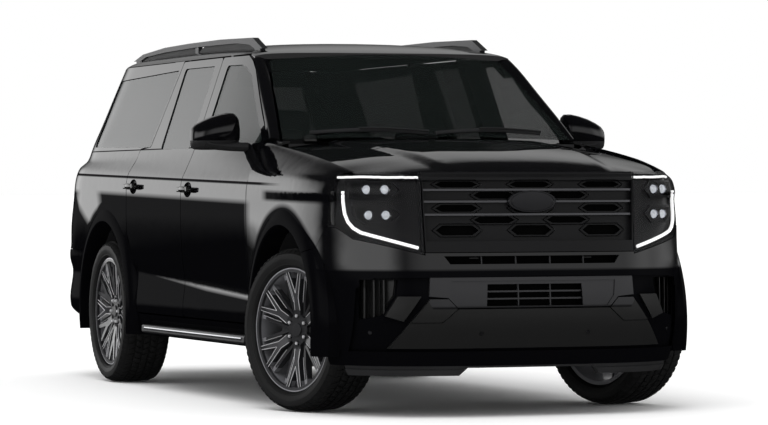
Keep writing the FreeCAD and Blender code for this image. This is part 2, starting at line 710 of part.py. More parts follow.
def hood_z(x, y):
    centre = lerp_table(HOOD_CENTRE, x)
    seam = lerp_table(SEAM_Y, x)
    if x <= SEAM_FRONT_X:
        drop = centre - lerp_table(SEAM_Z, x)
    else:
        drop = 82.0
    ridge = lerp_table(DOME_EDGE, x)
    share = min(1.0, max(0.0, (ridge + DOME_BLEND - abs(y)) / (2.0 * DOME_BLEND)))
    fade = min(1.0, max(0.0, (2760.0 - x) / 140.0))
    dome = DOME_HEIGHT * share * share * (3.0 - 2.0 * share) * fade
    return centre - drop * (abs(y) / seam) ** 2.4 - DOME_HEIGHT + dome


def hood_line(x, lift):
    """One cross line of the hood, with points gathered at the edges of its dome."""
    ridge = lerp_table(DOME_EDGE, x)
    inner = ridge - DOME_BLEND
    outer = ridge + DOME_BLEND
    half = [0.0, 0.35 * inner, 0.7 * inner, inner - 20.0, inner, ridge, outer, outer + 20.0]
    for step in (0.35, 0.7, 1.0):
        half.append(outer + 20.0 + (HOOD_HALF - outer - 20.0) * step)
    full = [-y for y in reversed(half[1:])] + half
    return [V(x, y, hood_z(x, y) + lift) for y in full]


def hood_surface(lift):
    return face_from_grid([hood_line(x, lift) for x in HOOD_STATIONS])


hood = hood_surface(0.0).extrude(V(0, 0, -HOOD_THICKNESS)).common(
    panel(hood_outline(-SHUT_GAP / 2), "z", 1000.0, 1500.0))
save("hood", hood)

hood_keep = hood_surface(-HOOD_THICKNESS - SHUT_GAP).extrude(V(0, 0, 500.0)).common(
    panel(hood_outline(SHUT_GAP / 2), "z", 1000.0, 1700.0))
nose_shell = nose_shell.cut(hood_keep)
above_front = panel([(1100, 1450), (1100, 1390), (DOOR_FRONT_X + 4, 1390), (HOOD_REAR_X, 1384), (HOOD_REAR_X + 40, 1450)],
                    "y", 0.0, 1100.0)
nose_shell = nose_shell.cut(above_front)

FENDER_OUTLINE = [(DOOR_FRONT_X + SHUT_GAP, SILL_BOTTOM), (DOOR_FRONT_X + SHUT_GAP, 1500), (2560, 1500), (2560, 1222),
                  (LAMP_OUTER_X, 1206), (LAMP_OUTER_X, 952), (2290, 836), (2150, 806), (2150, SILL_BOTTOM)]
fender_region = panel(FENDER_OUTLINE, "y", 0.0, FAR)
cockpit = box(DOOR_FRONT_X - 100, DOOR_FRONT_X + SHUT_GAP, 0, 1100, 0, 1500)
fender = nose_shell.common(fender_region)
fender = fender.cut(box(1000, 2600, 0, 700, 0, 1500))
fender = max(fender.Solids, key=lambda s: s.Volume)
save("fenders", both_sides(fender), 5.0e4)

front_face = nose_shell.cut(panel(FENDER_OUTLINE, "y", 0.0, FAR, 0.0, LAMP_GAP)).cut(cockpit)
front_face = front_face.common(box(2100, 2900, 0, 1100, NOSE_BOTTOM, 1400))
lamp_region = panel(LAMP_OUTLINE, "x", 2000.0, 2900.0)
grille_region = panel(GRILLE_OUTLINE, "x", 2000.0, 2900.0)
TAB_THICKNESS = 5.6
TAB_LENGTH = 50.0
NOSE_NEAR = 2000.0
NOSE_FAR = 2900.0
tab_layer = front_in.cut(front_half(PANEL_THICKNESS + TAB_THICKNESS))


def tabs_at(layer, spots, reach=25.0):
    """Mounting ears behind a seam, one at each (x, y, z) spot on the skin."""
    half = TAB_LENGTH / 2
    return [layer.common(box(x - half, x + half, y - reach, y + reach, z - half, z + half)) for x, y, z in spots]


def front_panel(outline, grow=0.0):
    """An outline across the nose, given by half width and height, run from front to back."""
    return panel(outline, "x", NOSE_NEAR, NOSE_FAR, 0.0, grow)


def whole(half):
    """A left half and its mirror image joined into one piece."""
    return fused([half, mirrored(half)])


# Headlamps: a clear cover, a dark housing with two hexagonal pods, and the daytime strips
LENS_THICKNESS = 4.0
HOUSING_BACK = 34.0
POD_FRONT = 12.0
POD_WALL = 11.0
LAMP_WALL = 6.0
STRIP_FRONT = 5.0
STRIP_BACK = 14.0
UPPER_POD = [(868, 1172), (686, 1171), (646, 1127), (686, 1083), (868, 1083)]
LOWER_POD = [(850, 1046), (684, 1045), (643, 1004), (690, 957), (806, 955), (842, 985)]
TOP_STRIP = [(574, 1180), (574, 1196), (912, 1206), (912, 1190)]
SIDE_STRIP = [(906, 1122), (904, 1006), (882, 940), (842, 908), (562, 826), (562, 842), (832, 924), (868, 954),
              (886, 1010), (889, 1122)]
skin_4 = front_half(LENS_THICKNESS)
skin_5 = front_half(STRIP_FRONT)
skin_12 = front_half(POD_FRONT)
skin_14 = front_half(STRIP_BACK)
skin_34 = front_half(HOUSING_BACK)
lamp_tabs = tabs_at(tab_layer, [(LAMP_OUTER_X, 895, 1090), (2560, 800, 856)])
lamp = front_face.common(lamp_region)
save("headlamps", both_sides(lamp.cut(skin_4)), 5.0e4)
lamp_wall = lamp.cut(front_panel(LAMP_OUTLINE, -LAMP_WALL)).common(front_half(LENS_THICKNESS + SEAT_GAP))
pods = lamp.common(skin_12).cut(skin_34).common(
    front_panel(UPPER_POD).cut(front_panel(UPPER_POD, -POD_WALL)).fuse(
        front_panel(LOWER_POD).cut(front_panel(LOWER_POD, -POD_WALL))))
housing = fused([lamp.common(skin_34), pods, lamp_wall])
save("lamp_housings", both_sides(Part.makeCompound([housing] + lamp_tabs)), 1.0e4)
strip_room = lamp.common(front_panel(LAMP_OUTLINE, -LAMP_WALL - SEAT_GAP)).cut(front_half(HOUSING_BACK - SEAT_GAP))
strips = [strip_room.common(skin_5).cut(skin_14).common(front_panel(outline)) for outline in (TOP_STRIP, SIDE_STRIP)]
strip_feet = strip_room.common(skin_14).common(front_panel(TOP_STRIP, -4.0).fuse(front_panel(SIDE_STRIP, -4.0)))
save("day_lamps", both_sides(Part.makeCompound([fused(strips + [strip_feet])])), 1.0e3)

# Front bumper: painted above, sunk below, with a satin centre and skid shapes on it
LOWER_SINK = 16.0
TRIM_FRONT = 3.0
LOWER_RECESS = [(-1, 699), (790, 692), (858, 640), (872, 330), (-1, 330)]
INTAKE = [(-1, 799), (467, 799), (437, 759), (-1, 759)]
CENTRE_INTAKE = [(-1, 660), (250, 660), (256, 552), (-1, 552)]
POCKET = [(846, 684), (681, 684), (690, 606), (745, 507), (840, 487)]
SATIN_PANEL = [(-1, 694), (538, 694), (544, 602), (452, 594), (404, 544), (-1, 544)]
SATIN_RECESS = [(-1, 676), (436, 676), (428, 600), (390, 552), (-1, 552)]
SKID_MAIN = [(-1, 538), (402, 538), (480, 471), (634, 471), (725, 345), (-1, 345)]
SKID_EAR = [(406, 540), (452, 588), (540, 588), (632, 474), (482, 474)]
WING = [(690, 602), (582, 602), (664, 479), (743, 505)]
SATIN_DEPTH = 8.0
FIN_THICKNESS = 6.0
POCKET_BACK = 58.0
skin_3 = front_half(TRIM_FRONT)
skin_8 = front_half(SATIN_DEPTH)
skin_16 = front_half(LOWER_SINK)
bumper = front_face.cut(front_panel(LAMP_OUTLINE, LAMP_GAP)).cut(front_panel(GRILLE_OUTLINE, LAMP_GAP))
bumper = bumper.cut(front_panel(LOWER_RECESS).cut(skin_16))
for outline in (INTAKE, CENTRE_INTAKE, POCKET):
    bumper = bumper.cut(front_panel(outline))
bumper_left = max(bumper.Solids, key=lambda s: s.Volume)
bumper_tabs = tabs_at(tab_layer, [(2740, 300, 812), (2700, 530, 830)])
bumper_tabs += [mirrored(t) for t in bumper_tabs]
save("front_bumper", Part.makeCompound([whole(bumper_left)] + bumper_tabs), 5.0e3)

seat_16 = front_half(LOWER_SINK - SEAT_GAP)
proud = front_out.cut(seat_16)
sunk = skin_3.cut(seat_16)
satin = sunk.common(front_panel(SATIN_PANEL)).cut(front_panel(SATIN_RECESS).cut(skin_8))
satin = satin.cut(front_panel(CENTRE_INTAKE))
skid = sunk.common(front_panel(SKID_MAIN))
ears = proud.common(front_panel(SKID_EAR).fuse(front_panel(WING)))
slot_layer = front_half(20.0).cut(front_half(36.0))
slot_fit = slot_layer.common(front_panel(CENTRE_INTAKE, -SEAT_GAP))
intake_fit = slot_layer.common(front_panel(INTAKE, -SEAT_GAP))
slats = [slot_fit.common(box(NOSE_NEAR, NOSE_FAR, -1, 260, z - 4.0, z + 4.0)) for z in (624.0, 588.0)]
uprights = [slot_fit.common(box(NOSE_NEAR, NOSE_FAR, 82, 82 + FIN_THICKNESS, 540, 670))]
centre_slats = fused(slats + uprights)
dividers = [intake_fit.common(box(NOSE_NEAR, NOSE_FAR, y, y + FIN_THICKNESS, 750, 810)) for y in (88.0, 268.0)]
pocket_layer = front_half(PANEL_THICKNESS + SEAT_GAP).cut(front_half(POCKET_BACK))
pocket_wall = pocket_layer.common(front_panel(POCKET, 5.0).cut(front_panel(POCKET)))
pocket_back = front_half(POCKET_BACK).cut(front_half(POCKET_BACK + 5.0)).common(front_panel(POCKET, 5.0))
fin_layer = front_half(26.0).cut(front_half(POCKET_BACK)).common(front_panel(POCKET, -1.0))
fins = [fin_layer.common(box(NOSE_NEAR, NOSE_FAR, y, y + FIN_THICKNESS, 470, 700)) for y in (736.0, 776.0, 812.0)]
pocket = fused([pocket_wall, pocket_back] + fins)
save("bumper_trim", both_sides(Part.makeCompound([satin, skid, ears, pocket, centre_slats] + dividers)), 1.0e3)

# Grille: a frame, a plate of wide hexagons in staggered rows, and bright bars in front
GRILLE_FRONT = 24.0
HEX_PITCH = 385.0
HEX_HALF = 108.0
HEX_SLANT = 32.0
HEX_ROWS = [(1151.0, 14.0, 0.0), (1098.0, 17.0, 0.5), (1034.0, 17.0, 0.0), (976.0, 16.0, 0.5), (925.0, 24.0, 0.0)]
GRILLE_HOLE = [(-1, 1172), (560, 1172), (548, 872), (-1, 872)]
BAR_LEVELS = [1125.0, 1067.0, 1003.0]
BAR_HALF = 5.0
skin_24 = front_half(GRILLE_FRONT)
grille_half = front_face.common(grille_region)
holes = []
for z, half_height, shift in HEX_ROWS:
    for column in range(-2, 3):
        y = HEX_PITCH * (column + shift)
        if -HEX_HALF < y < 520.0:
            holes.append(front_panel([(y - HEX_HALF, z), (y - HEX_HALF + HEX_SLANT, z - half_height),
                                      (y + HEX_HALF - HEX_SLANT, z - half_height), (y + HEX_HALF, z),
                                      (y + HEX_HALF - HEX_SLANT, z + half_height),
                                      (y - HEX_HALF + HEX_SLANT, z + half_height)]))
limit = front_panel([(-1, 1300), (522, 1300), (512, 850), (-1, 850)])
plate = grille_half.common(skin_24).common(front_panel(GRILLE_HOLE)).cut(
    holes[0].multiFuse(holes[1:]).common(limit))
rim_frame = grille_half.cut(front_panel(GRILLE_HOLE))
save("grille", whole(fused([plate, rim_frame])))
bar_layer = skin_8.cut(front_half(GRILLE_FRONT - 2.0))
bar_layer = bar_layer.common(front_panel(GRILLE_HOLE, -SEAT_GAP))
bars = [bar_layer.common(box(NOSE_NEAR, NOSE_FAR, -1, 566, z - BAR_HALF, z + BAR_HALF)) for z in BAR_LEVELS]
save("grille_bars", Part.makeCompound([whole(b) for b in bars]), 1.0e3)

mesh_half = front_half(PANEL_THICKNESS + 6.0).cut(front_half(PANEL_THICKNESS + 14.0)).common(
    box(2000, 2900, 0, 640, 540, 1180))
save("grille_backing", whole(mesh_half))

DAM_STEP = [(-1, 247), (334, 247), (378, 200), (-1, 200)]
dam_half = front_half(14.0).cut(front_half(44.0)).common(box(2420, 2900, 0, 1100, 208, NOSE_BOTTOM - SEAT_GAP))
dam_half = dam_half.cut(front_panel(DAM_STEP))
dam_lip = front_half(9.0).cut(front_half(14.0)).common(box(2420, 2900, 0, 1100, 208, 238)).cut(front_panel(DAM_STEP, 6.0))
save("air_dam", whole(fused([dam_half, dam_lip])))

core = box(2560, 2600, -520, 520, 470, 1150)
legs = [box(2450, 2600, y - 30, y + 30, 425, 471) for y in (-415, 415)]
stop_clear = hood_surface(-HOOD_THICKNESS - 0.5).extrude(V(0, 0, 500.0))
stops = [box(2565, 2595, y - 15, y + 15, 1149, 1300).cut(stop_clear) for y in (-400, 400)]
save("radiator", fused([core] + legs + stops))

# Rear end
SIDE_WALL = 42.0
tail_out = tail_half(0.0)
tail_in = tail_half(SIDE_WALL)
rear_flare = flare(REAR_AXLE_X).common(box(-2200, -900, 850, 1100, SILL_BOTTOM, 1200))
tail_shell = tail_out.cut(tail_in).fuse(rear_flare).cut(arch_cut(REAR_AXLE_X, ARCH_RADIUS))
tail_shell = tail_shell.cut(box(-3000, -900, -10, 1100, DRIP_Z - 2.0, 2000))

REAR_DOOR_EDGE = [(DOOR_MIDDLE_X - 500, 100), (DOOR_MIDDLE_X - 500, 1990), (-705, 1990)] + REAR_FRAME_LINE + [
    (DOOR_REAR_X, BELT_Z - 30), (DOOR_REAR_X, 940)] + REAR_DOOR_ARCH + [(REAR_DOOR_ARCH[-1][0], 100)]
GATE_OUTLINE = [(-1, GATE_BOTTOM), (772, GATE_BOTTOM), (772, 1390), (700, 1560), (596, 1800), (560, 1990), (-1, 1990)]
GATE_WINDOW = [(-1, 1420), (672, 1420), (610, 1560), (530, 1770), (-1, 1790)]
LAMP_TAIL = [(772 + SHUT_GAP / 2, 1340), (1100, 1340), (1100, 905), (772 + SHUT_GAP / 2, 870)]
LAMP_TAIL_FRONT_X = -2452.0
BUMPER_SIDE = [(-2076, BUMPER_TOP_Z), (-2900, BUMPER_TOP_Z), (-2900, 440), (-2471, 440), (-2076, 352)]

gate_side = box(-2900, GATE_CUT_X, -1, 1100, 0, 2000)
gate_half = tail_shell.common(panel(GATE_OUTLINE, "x", -2900, -2200)).common(gate_side)
gate_half = gate_half.cut(panel(GATE_WINDOW, "x", -2900, -2200))
spoiler = roof_slab().common(box(-2700, GATE_CUT_X, 0, 560, DRIP_Z - 2.0, 2000))
gate_half = fused([gate_half, spoiler])
gate = fused([gate_half, mirrored(gate_half)])
save("liftgate", gate)

glass_skin = skin_of(tail_half(GLASS_INSET))
glass_half = glass_skin.extrude(V(GLASS_THICKNESS, 0, 0)).common(panel(GATE_WINDOW, "x", -2900, -2200, 0.0, -SEAT_GAP)).common(gate_side)
gate_glass = fused([glass_half, mirrored(glass_half)])
save("liftgate_glass", gate_glass)

not_gate = panel(GATE_OUTLINE, "x", -2900, -2200, 0.0, SHUT_GAP).common(box(-2900, GATE_CUT_X + SHUT_GAP, -30, 1100, 700,
                                                                             2000))
rear_side = tail_shell.cut(not_gate).cut(panel(REAR_DOOR_EDGE, "y", 0.0, FAR, 0.0, SHUT_GAP))
tail_lamp_region = panel(LAMP_TAIL, "x", -2900, LAMP_TAIL_FRONT_X)
tail_lamp = rear_side.common(tail_lamp_region)
save("tail_lamps", both_sides(tail_lamp), 5.0e4)
rear_side = rear_side.cut(panel(LAMP_TAIL, "x", -2900, LAMP_TAIL_FRONT_X + LAMP_GAP, 0.0, LAMP_GAP))

rear_bumper_half = rear_side.common(panel(BUMPER_SIDE, "y", 0.0, FAR))
rear_bumper_half = max(rear_bumper_half.Solids, key=lambda s: s.Volume)
save("rear_bumper", fused([rear_bumper_half, mirrored(rear_bumper_half)]))

quarter = rear_side.cut(panel(BUMPER_SIDE, "y", 0.0, FAR, 0.0, LAMP_GAP)).cut(
    box(-3000, -2076, -10, 1100, 0, BUMPER_TOP_Z)).cut(box(-3000, -2330, -10, 772, 700, 900))
quarter = quarter.cut(panel(QUARTER_WINDOW, "y", NEAR, FAR, 26.0))
quarter = max(quarter.Solids, key=lambda s: s.Volume)
tail_tab_layer = tail_in.cut(tail_half(SIDE_WALL + TAB_THICKNESS))
tail_tabs = tabs_at(tail_tab_layer, [(-2452, 930, 1120), (-2300, 940, 772)], 120.0)
quarter_glass = glass_skin.extrude(V(0, -GLASS_THICKNESS, 0)).common(
    panel(QUARTER_WINDOW, "y", NEAR, FAR, 26.0, -SEAT_GAP))
save("quarter_glass", both_sides(quarter_glass))

# Sills, pillars and rails behind the doors
FLOOR_SIDE_Y = 858.0
sill_start = REAR_DOOR_ARCH[-1][0] + SHUT_GAP + 0.5
sill = side_slab(MID_START, MID_END, 0.0, 70.0).common(
    box(sill_start, DOOR_FRONT_X, FLOOR_SIDE_Y, 1100, SILL_BOTTOM, DOOR_BOTTOM - SHUT_GAP))
PILLAR_BELT = BELT_Z + 4.0
centre_post = PILLAR_SLAB.common(box(DOOR_MIDDLE_X - 55, DOOR_MIDDLE_X + 55, 0, 1100, FLOOR_Z + FLOOR_THICKNESS, PILLAR_BELT))
hinge_post = PILLAR_SLAB.common(box(1172, 1236, 0, 1100, FLOOR_Z + FLOOR_THICKNESS, PILLAR_BELT - 10))
upper_post = RAIL_SLAB.common(panel([(DOOR_MIDDLE_X - 50, PILLAR_BELT - 8), (DOOR_MIDDLE_X - 50, 1840),
                                     (DOOR_MIDDLE_X + 50, 1840), (DOOR_MIDDLE_X + 50, PILLAR_BELT - 8)], "y", 0, FAR))
belt_shelf = side_slab(MID_START, MID_END, FRAME_THICKNESS + SHUT_GAP, DOOR_THICKNESS + SHUT_GAP + 30.0).common(
    box(DOOR_MIDDLE_X - 50, DOOR_MIDDLE_X + 50, 0, 1100, PILLAR_BELT - 8, PILLAR_BELT + 22))
sill_shelf = box(DOOR_MIDDLE_X - 55, DOOR_MIDDLE_X + 55, FLOOR_SIDE_Y, 905, FLOOR_Z, DOOR_BOTTOM - SHUT_GAP)
hinge_shelf = box(1172, 1236, FLOOR_SIDE_Y, 905, FLOOR_Z, DOOR_BOTTOM - SHUT_GAP)
cant_rail = RAIL_SLAB.common(panel([(-1030, 1826), (-1030, 1858), (540, 1858), (640, 1816), (700, 1762), (660, 1742),
                                    (520, 1826)], "y", 0, FAR))
frame_post = RAIL_SLAB.common(panel([(-690, 1850), (-815, PILLAR_BELT - 8), (-900, PILLAR_BELT - 8), (-765, 1850)],
                                    "y", 0, FAR))
post_layer = side_slab(MID_START, MID_END, SIDE_WALL - 1.0, FRAME_THICKNESS + SHUT_GAP + 10.0)
post_blocks = [post_layer.common(box(x - 8, x + 8, 0, 1100, z - 20, z + 20))
               for x, z in ((-831, 1450), (-791, 1600), (-752, 1750))]
roof_posts = [box(x - 20, x + 20, 640, 695, 1846, DRIP_Z + DRIP_CLEAR - 1.0 - SEAT_GAP)
              for x in (DOOR_MIDDLE_X, -760, 420)]
door_stop_layer = side_slab(MID_START, MID_END, DOOR_THICKNESS + 0.6, DOOR_THICKNESS + SHUT_GAP + 10.0)
door_stops = [door_stop_layer.common(box(x - 14, x + 14, 0, 1100, z - 30, z + 30))
              for x in (DOOR_MIDDLE_X + 36, DOOR_MIDDLE_X - 40) for z in (650, 1050)]


def shield_edge(share, out, down):
    point = shield_point(share, 1.0)
    return V(point.x + 0.56 * -down, point.y + out, point.z - 0.83 * down)


def frame_edge(share):
    """The front edge of the door frame, read off at the level of the windshield's share."""
    target = SHIELD_BASE[3] + (SHIELD_TOP[3] - SHIELD_BASE[3]) * share
    x = lerp_table([(z, x) for x, z in FRAME_LINE], target)
    z = min(target, FRAME_LINE[-1][1])
    return x, z


PILLAR_SHARES = (0.0, 0.2, 0.4, 0.6, 0.8, 0.985)
PILLAR_BULGE = V(9.0, 7.0, 12.0)
PILLAR_DEPTH = V(-12.0, -24.0, -34.0)
pillar_rows = []
for share in PILLAR_SHARES:
    fx, fz = frame_edge(share)
    outer = V(fx + 6.5, side_y(fx + 6.5, fz + 7.0) - 1.0, fz + 7.0)
    glass_side = shield_edge(share, 7.0, 0.0)
    row = []
    for t in (0.0, 0.3, 0.65, 1.0):
        point = V(outer).multiply(1.0 - t).add(V(glass_side).multiply(t))
        row.append(point.add(V(PILLAR_BULGE).multiply(4.0 * t * (1.0 - t))))
    pillar_rows.append(row)
front_pillar = face_from_grid(pillar_rows).extrude(PILLAR_DEPTH)
door_keep = panel(FRONT_DOOR, "y", 0.0, FAR, 0.0, 5.5)
side_frame = fused([sill, centre_post, hinge_post, upper_post, belt_shelf, sill_shelf, hinge_shelf,
                    cant_rail.cut(roof), frame_post, quarter] + post_blocks + roof_posts + door_stops)
side_frame = side_frame.cut(windshield())
# Firewall, cowl and floor
cowl = box(1296, HOOD_REAR_X - SHUT_GAP, -806, 806, 1336, 1368)
firewall = box(1268, 1290, -806, 806, FLOOR_Z + FLOOR_THICKNESS, 1368)
firewall = firewall.cut(box(1200, 1400, 478, 900, 0, 946)).cut(box(1200, 1400, -900, -478, 0, 946))
firewall = fused([firewall, cowl, box(1289, 1297, -806, 806, 1336, 1368)])
save("firewall", firewall)
front_pillar = front_pillar.cut(door_keep).cut(roof).cut(fender).cut(firewall).cut(windshield()).cut(side_frame)
front_pillar = max(front_pillar.Solids, key=lambda s: s.Volume)
save("body_sides", both_sides(Part.makeCompound(side_frame.Solids + [front_pillar] + tail_tabs)), 8.0e3)

TUNNEL_HALF = 90.0
TUNNEL_TOP = 486.0
TUNNEL_WALL = 16.0
floor_front = box(-1000, 1262, -FLOOR_SIDE_Y, FLOOR_SIDE_Y, FLOOR_Z, FLOOR_Z + FLOOR_THICKNESS)
tunnel = box(-1000, 1262, -TUNNEL_HALF - TUNNEL_WALL, TUNNEL_HALF + TUNNEL_WALL, FLOOR_Z, TUNNEL_TOP)
tunnel_hole = box(-1100, 1300, -TUNNEL_HALF, TUNNEL_HALF, FLOOR_Z - 10, TUNNEL_TOP - TUNNEL_WALL)
floor_riser = box(-1020, -1000, -560, 560, FLOOR_Z, LOAD_FLOOR_Z)
floor_rear = box(-2700, -1000, -560, 560, LOAD_FLOOR_Z, LOAD_FLOOR_Z + FLOOR_THICKNESS)
floor_rear_wide = box(-2400, -2040, -800, 800, LOAD_FLOOR_Z, LOAD_FLOOR_Z + FLOOR_THICKNESS)
striker = box(-2850, -2680, -40, 40, LOAD_FLOOR_Z, 835).common(tail_half(SIDE_WALL + 0.6).fuse(
    mirrored(tail_half(SIDE_WALL + 0.6))))
floor = fused([floor_front, tunnel, floor_riser, floor_rear, floor_rear_wide, striker]).cut(tunnel_hole)
save("floor", floor)


def liner(axle_x, y0, y1, z_low):
    ring = cylinder_y(axle_x, ARCH_CENTRE_Z, ARCH_RADIUS + LINER_WALL, y0, y1).cut(
        cylinder_y(axle_x, ARCH_CENTRE_Z, ARCH_RADIUS, y0 - 1.0, y1 + 1.0))
    back = cylinder_y(axle_x, ARCH_CENTRE_Z, ARCH_RADIUS + LINER_WALL, y0 - LINER_WALL, y0)
    clip = box(axle_x - 700, axle_x + 700, 0, 1100, z_low, 1200)
    return ring.fuse(back).common(clip)


rear_liner = liner(REAR_AXLE_X, 575.0, 940.0, 640.0)
front_liner = liner(FRONT_AXLE_X, 495.0, 940.0, 700.0)
rear_liner = rear_liner.cut(tail_shell)
front_liner = front_liner.cut(nose_shell)
save("wheel_houses", both_sides(Part.makeCompound([rear_liner, front_liner])), 5.0e4)

# Ladder frame with cross members
RAIL_PATH = [(2500, 330), (1300, RAIL_BOTTOM), (-1040, RAIL_BOTTOM), (-1250, RAIL_BOTTOM + RAIL_KICK),
             (-1900, RAIL_BOTTOM + RAIL_KICK), (-2150, RAIL_BOTTOM + 150), (-2640, RAIL_BOTTOM + 150)]
rail_outline = RAIL_PATH + [(x, z + RAIL_HEIGHT) for x, z in reversed(RAIL_PATH)]
rail = panel(rail_outline, "y", RAIL_Y, RAIL_Y + RAIL_WIDTH)
cross_members = []
for x, z, width, height in ((2440, 345, 60, 70), (1560, 310, 90, 50), (900, 256, 70, 50), (-300, 300, 70, 60),
                            (-950, 305, 70, 60), (-1250, 520, 70, 55), (-1800, 520, 70, 55), (-2600, 460, 60, 60)):
    cross_members.append(box(x - width / 2, x + width / 2, -RAIL_Y - 5, RAIL_Y + 5, z, z + height))
body_mounts = []
for x in (-700, 300, 1150):
    body_mounts.append(box(x - 40, x + 40, RAIL_Y + RAIL_WIDTH - 4, RAIL_Y + 200, 330, FLOOR_Z))
receiver = box(-2800, -2640, -32, 32, 372, 436).cut(box(-2801, -2639, -25.4, 25.4, 378.6, 429.4))
receiver = receiver.cut(cylinder_y(-2745, 404, 8.1, -40, 40))
hanger = box(-2660, -2600, -90, 90, 437, 470).fuse(box(-2660, -2640, -90, 90, 372, 440)).cut(
    box(-2700, -2600, -25.4, 25.4, 378.6, 429.4))
chassis = fused([rail, mirrored(rail)] + cross_members + body_mounts + [mirrored(m) for m in body_mounts])
save("chassis_frame", chassis)
save("tow_receiver", receiver.fuse(hanger).cut(box(-2640, -2500, -100, 100, 460 - SEAT_GAP, 530)))

# Engine, gearbox and driveline
gearbox = fused([box(700, 1420, -75, 75, 308, 388), tube_between(V(720, 0, 350), V(640, 0, 350), 32.0),
                 box(1420, 2060, -330, 330, 400, 1120), box(1420, 1500, -150, 150, 330, 400)])
save("powertrain", gearbox)
prop_shaft = tube_between(V(639, 0, 350), V(-1380, 0, 417), 38.0)
differential = Part.makeSphere(118.0, V(REAR_AXLE_X, 0, 417)).common(box(-2000, -1000, -110, 110, 200, 700))
save("propeller_shaft", prop_shaft.cut(chassis).cut(differential))
hub_length = 60.0
half_shafts = [tube_between(V(REAR_AXLE_X, 100, 417), V(REAR_AXLE_X, 770, 417), 22.0),
               tube_between(V(REAR_AXLE_X, 750, 417), V(REAR_AXLE_X, TRACK / 2 + BRAKE_DISC_Y - SEAT_GAP, 417), 34.0)]
REAR_ARM_Y = 452.0
lower_arm = panel([(REAR_AXLE_X - 140, REAR_ARM_Y), (REAR_AXLE_X + 140, REAR_ARM_Y), (REAR_AXLE_X + 45, 742),
                   (REAR_AXLE_X - 45, 742)], "z", 296.0, 336.0)
carrier = box(REAR_AXLE_X - 60, REAR_AXLE_X + 60, 720, 752, 290, 545)
upper_arm = box(REAR_AXLE_X - 35, REAR_AXLE_X + 35, REAR_ARM_Y, 742, 520, 548)
rear_bushes = box(REAR_AXLE_X - 140, REAR_AXLE_X + 140, 380, REAR_ARM_Y + 6, 290, 340)
subframe = box(REAR_AXLE_X - 140, REAR_AXLE_X + 140, 330, 385, 290, RAIL_BOTTOM + RAIL_KICK - SEAT_GAP)
rear_left = fused([lower_arm, carrier, upper_arm, rear_bushes, subframe] + half_shafts)
rear_axle = fused([rear_left, mirrored(rear_left), differential])
save("rear_suspension", rear_axle.cut(chassis))

front_lower = panel([(FRONT_AXLE_X - 230, 452), (FRONT_AXLE_X + 200, 452), (FRONT_AXLE_X + 38, 762),
                     (FRONT_AXLE_X + 26, 804), (FRONT_AXLE_X - 26, 804), (FRONT_AXLE_X - 38, 762)], "z", 262.0, 290.0)
front_upper = panel([(FRONT_AXLE_X - 120, 440), (FRONT_AXLE_X + 120, 440), (FRONT_AXLE_X + 32, 770),
                     (FRONT_AXLE_X + 26, 804), (FRONT_AXLE_X - 26, 804), (FRONT_AXLE_X - 32, 770)], "z", 560.0, 584.0)
tower = box(FRONT_AXLE_X - 90, FRONT_AXLE_X + 90, 390, 446, 400, 640)
lower_bush = box(FRONT_AXLE_X - 230, FRONT_AXLE_X + 200, 410, 456, 262, 318)
front_side = fused([front_lower, front_upper, tower, lower_bush])
save("front_suspension", both_sides(front_side.cut(chassis)))

# Exhaust and tank
muffler = Part.makeCylinder(95.0, 560.0, V(-2480, 250, 330), V(0, 1, 0))
pipe_runs = [V(1300, -250, 330), V(-900, -250, 330), V(-1150, -250, 240)]
save("exhaust", fused([box(-420, 620, 190, 330, 300, 384), box(-360, -320, 329, RAIL_Y - SEAT_GAP, 330, 350),
                       box(540, 580, 329, RAIL_Y - SEAT_GAP, 330, 350), tube_between(V(1200, 260, 340), V(620, 260, 340), 32.0),
                       tube_between(V(-420, 260, 340), V(-900, 260, 340), 32.0)]).cut(chassis))
save("fuel_tank", box(-880, 560, SEAT_GAP - RAIL_Y, -175, 300, 388).cut(chassis))

# Running boards, rails on the roof, wipers
board = box(-700, 1225, 900, 1008, 318, 366)
board = board.makeFillet(12.0, [e for e in board.Edges if abs(e.BoundBox.YMin - 1008) < 1 and e.Length > 500])
board = board.cut(side_slab(MID_START, MID_END, -SEAT_GAP, 200.0))
save("running_boards", both_sides(board))

RAIL_POINTS = [(470, 1902), (300, 1966), (-300, 1978), (-900, 1978), (-1400, 1972), (-1860, 1948), (-2060, 1912)]
rail_top = [(x, z) for x, z in RAIL_POINTS]
rail_low = [(-1940, 1906), (-1800, 1930), (-1400, 1944), (-700, 1952), (0, 1946), (240, 1930), (350, 1900)]
roof_rail = panel(rail_top + rail_low, "y", 626.0, 660.0)
feet = [box(330, 430, 628, 658, 1880, 1912), box(-2010, -1900, 628, 658, 1870, 1916), box(-790, -730, 630, 656, 1890, 1960)]
roof_rail = fused([roof_rail] + feet).cut(roof.fuse(roof_slab()))
roof_rail = max(roof_rail.Solids, key=lambda s: s.Volume)
save("roof_rails", both_sides(roof_rail))

# Dashboard, steering wheel and seats
dash = panel([(1267.7, 1000), (1267.7, 1325), (1080, 1318), (930, 1270), (900, 1180), (980, 1000), (1000, 860), (1180, 840)],
             "y", -690.0, 690.0)
console = box(420, 880, -105, 105, TUNNEL_TOP + SEAT_GAP, 860)
save("dashboard", Part.makeCompound([dash, console]))
wheel_ring = Part.makeTorus(185.0, 15.0, V(0, 0, 0), V(0, 0, 1))
hub = Part.makeCylinder(60.0, 26.0, V(0, 0, -13), V(0, 0, 1))
spokes = [Part.makeBox(176.0, 36.0, 16.0, V(-176, -18, -8)), Part.makeBox(176.0, 36.0, 16.0, V(0, -18, -8)),
          Part.makeBox(36.0, 176.0, 16.0, V(-18, -176, -8))]
column = Part.makeCylinder(24.0, 260.0, V(0, 0, -260.0), V(0, 0, 1))
wheel = fused([wheel_ring, hub, column] + spokes)
wheel.rotate(V(0, 0, 0), V(0, 0, 1), -90)
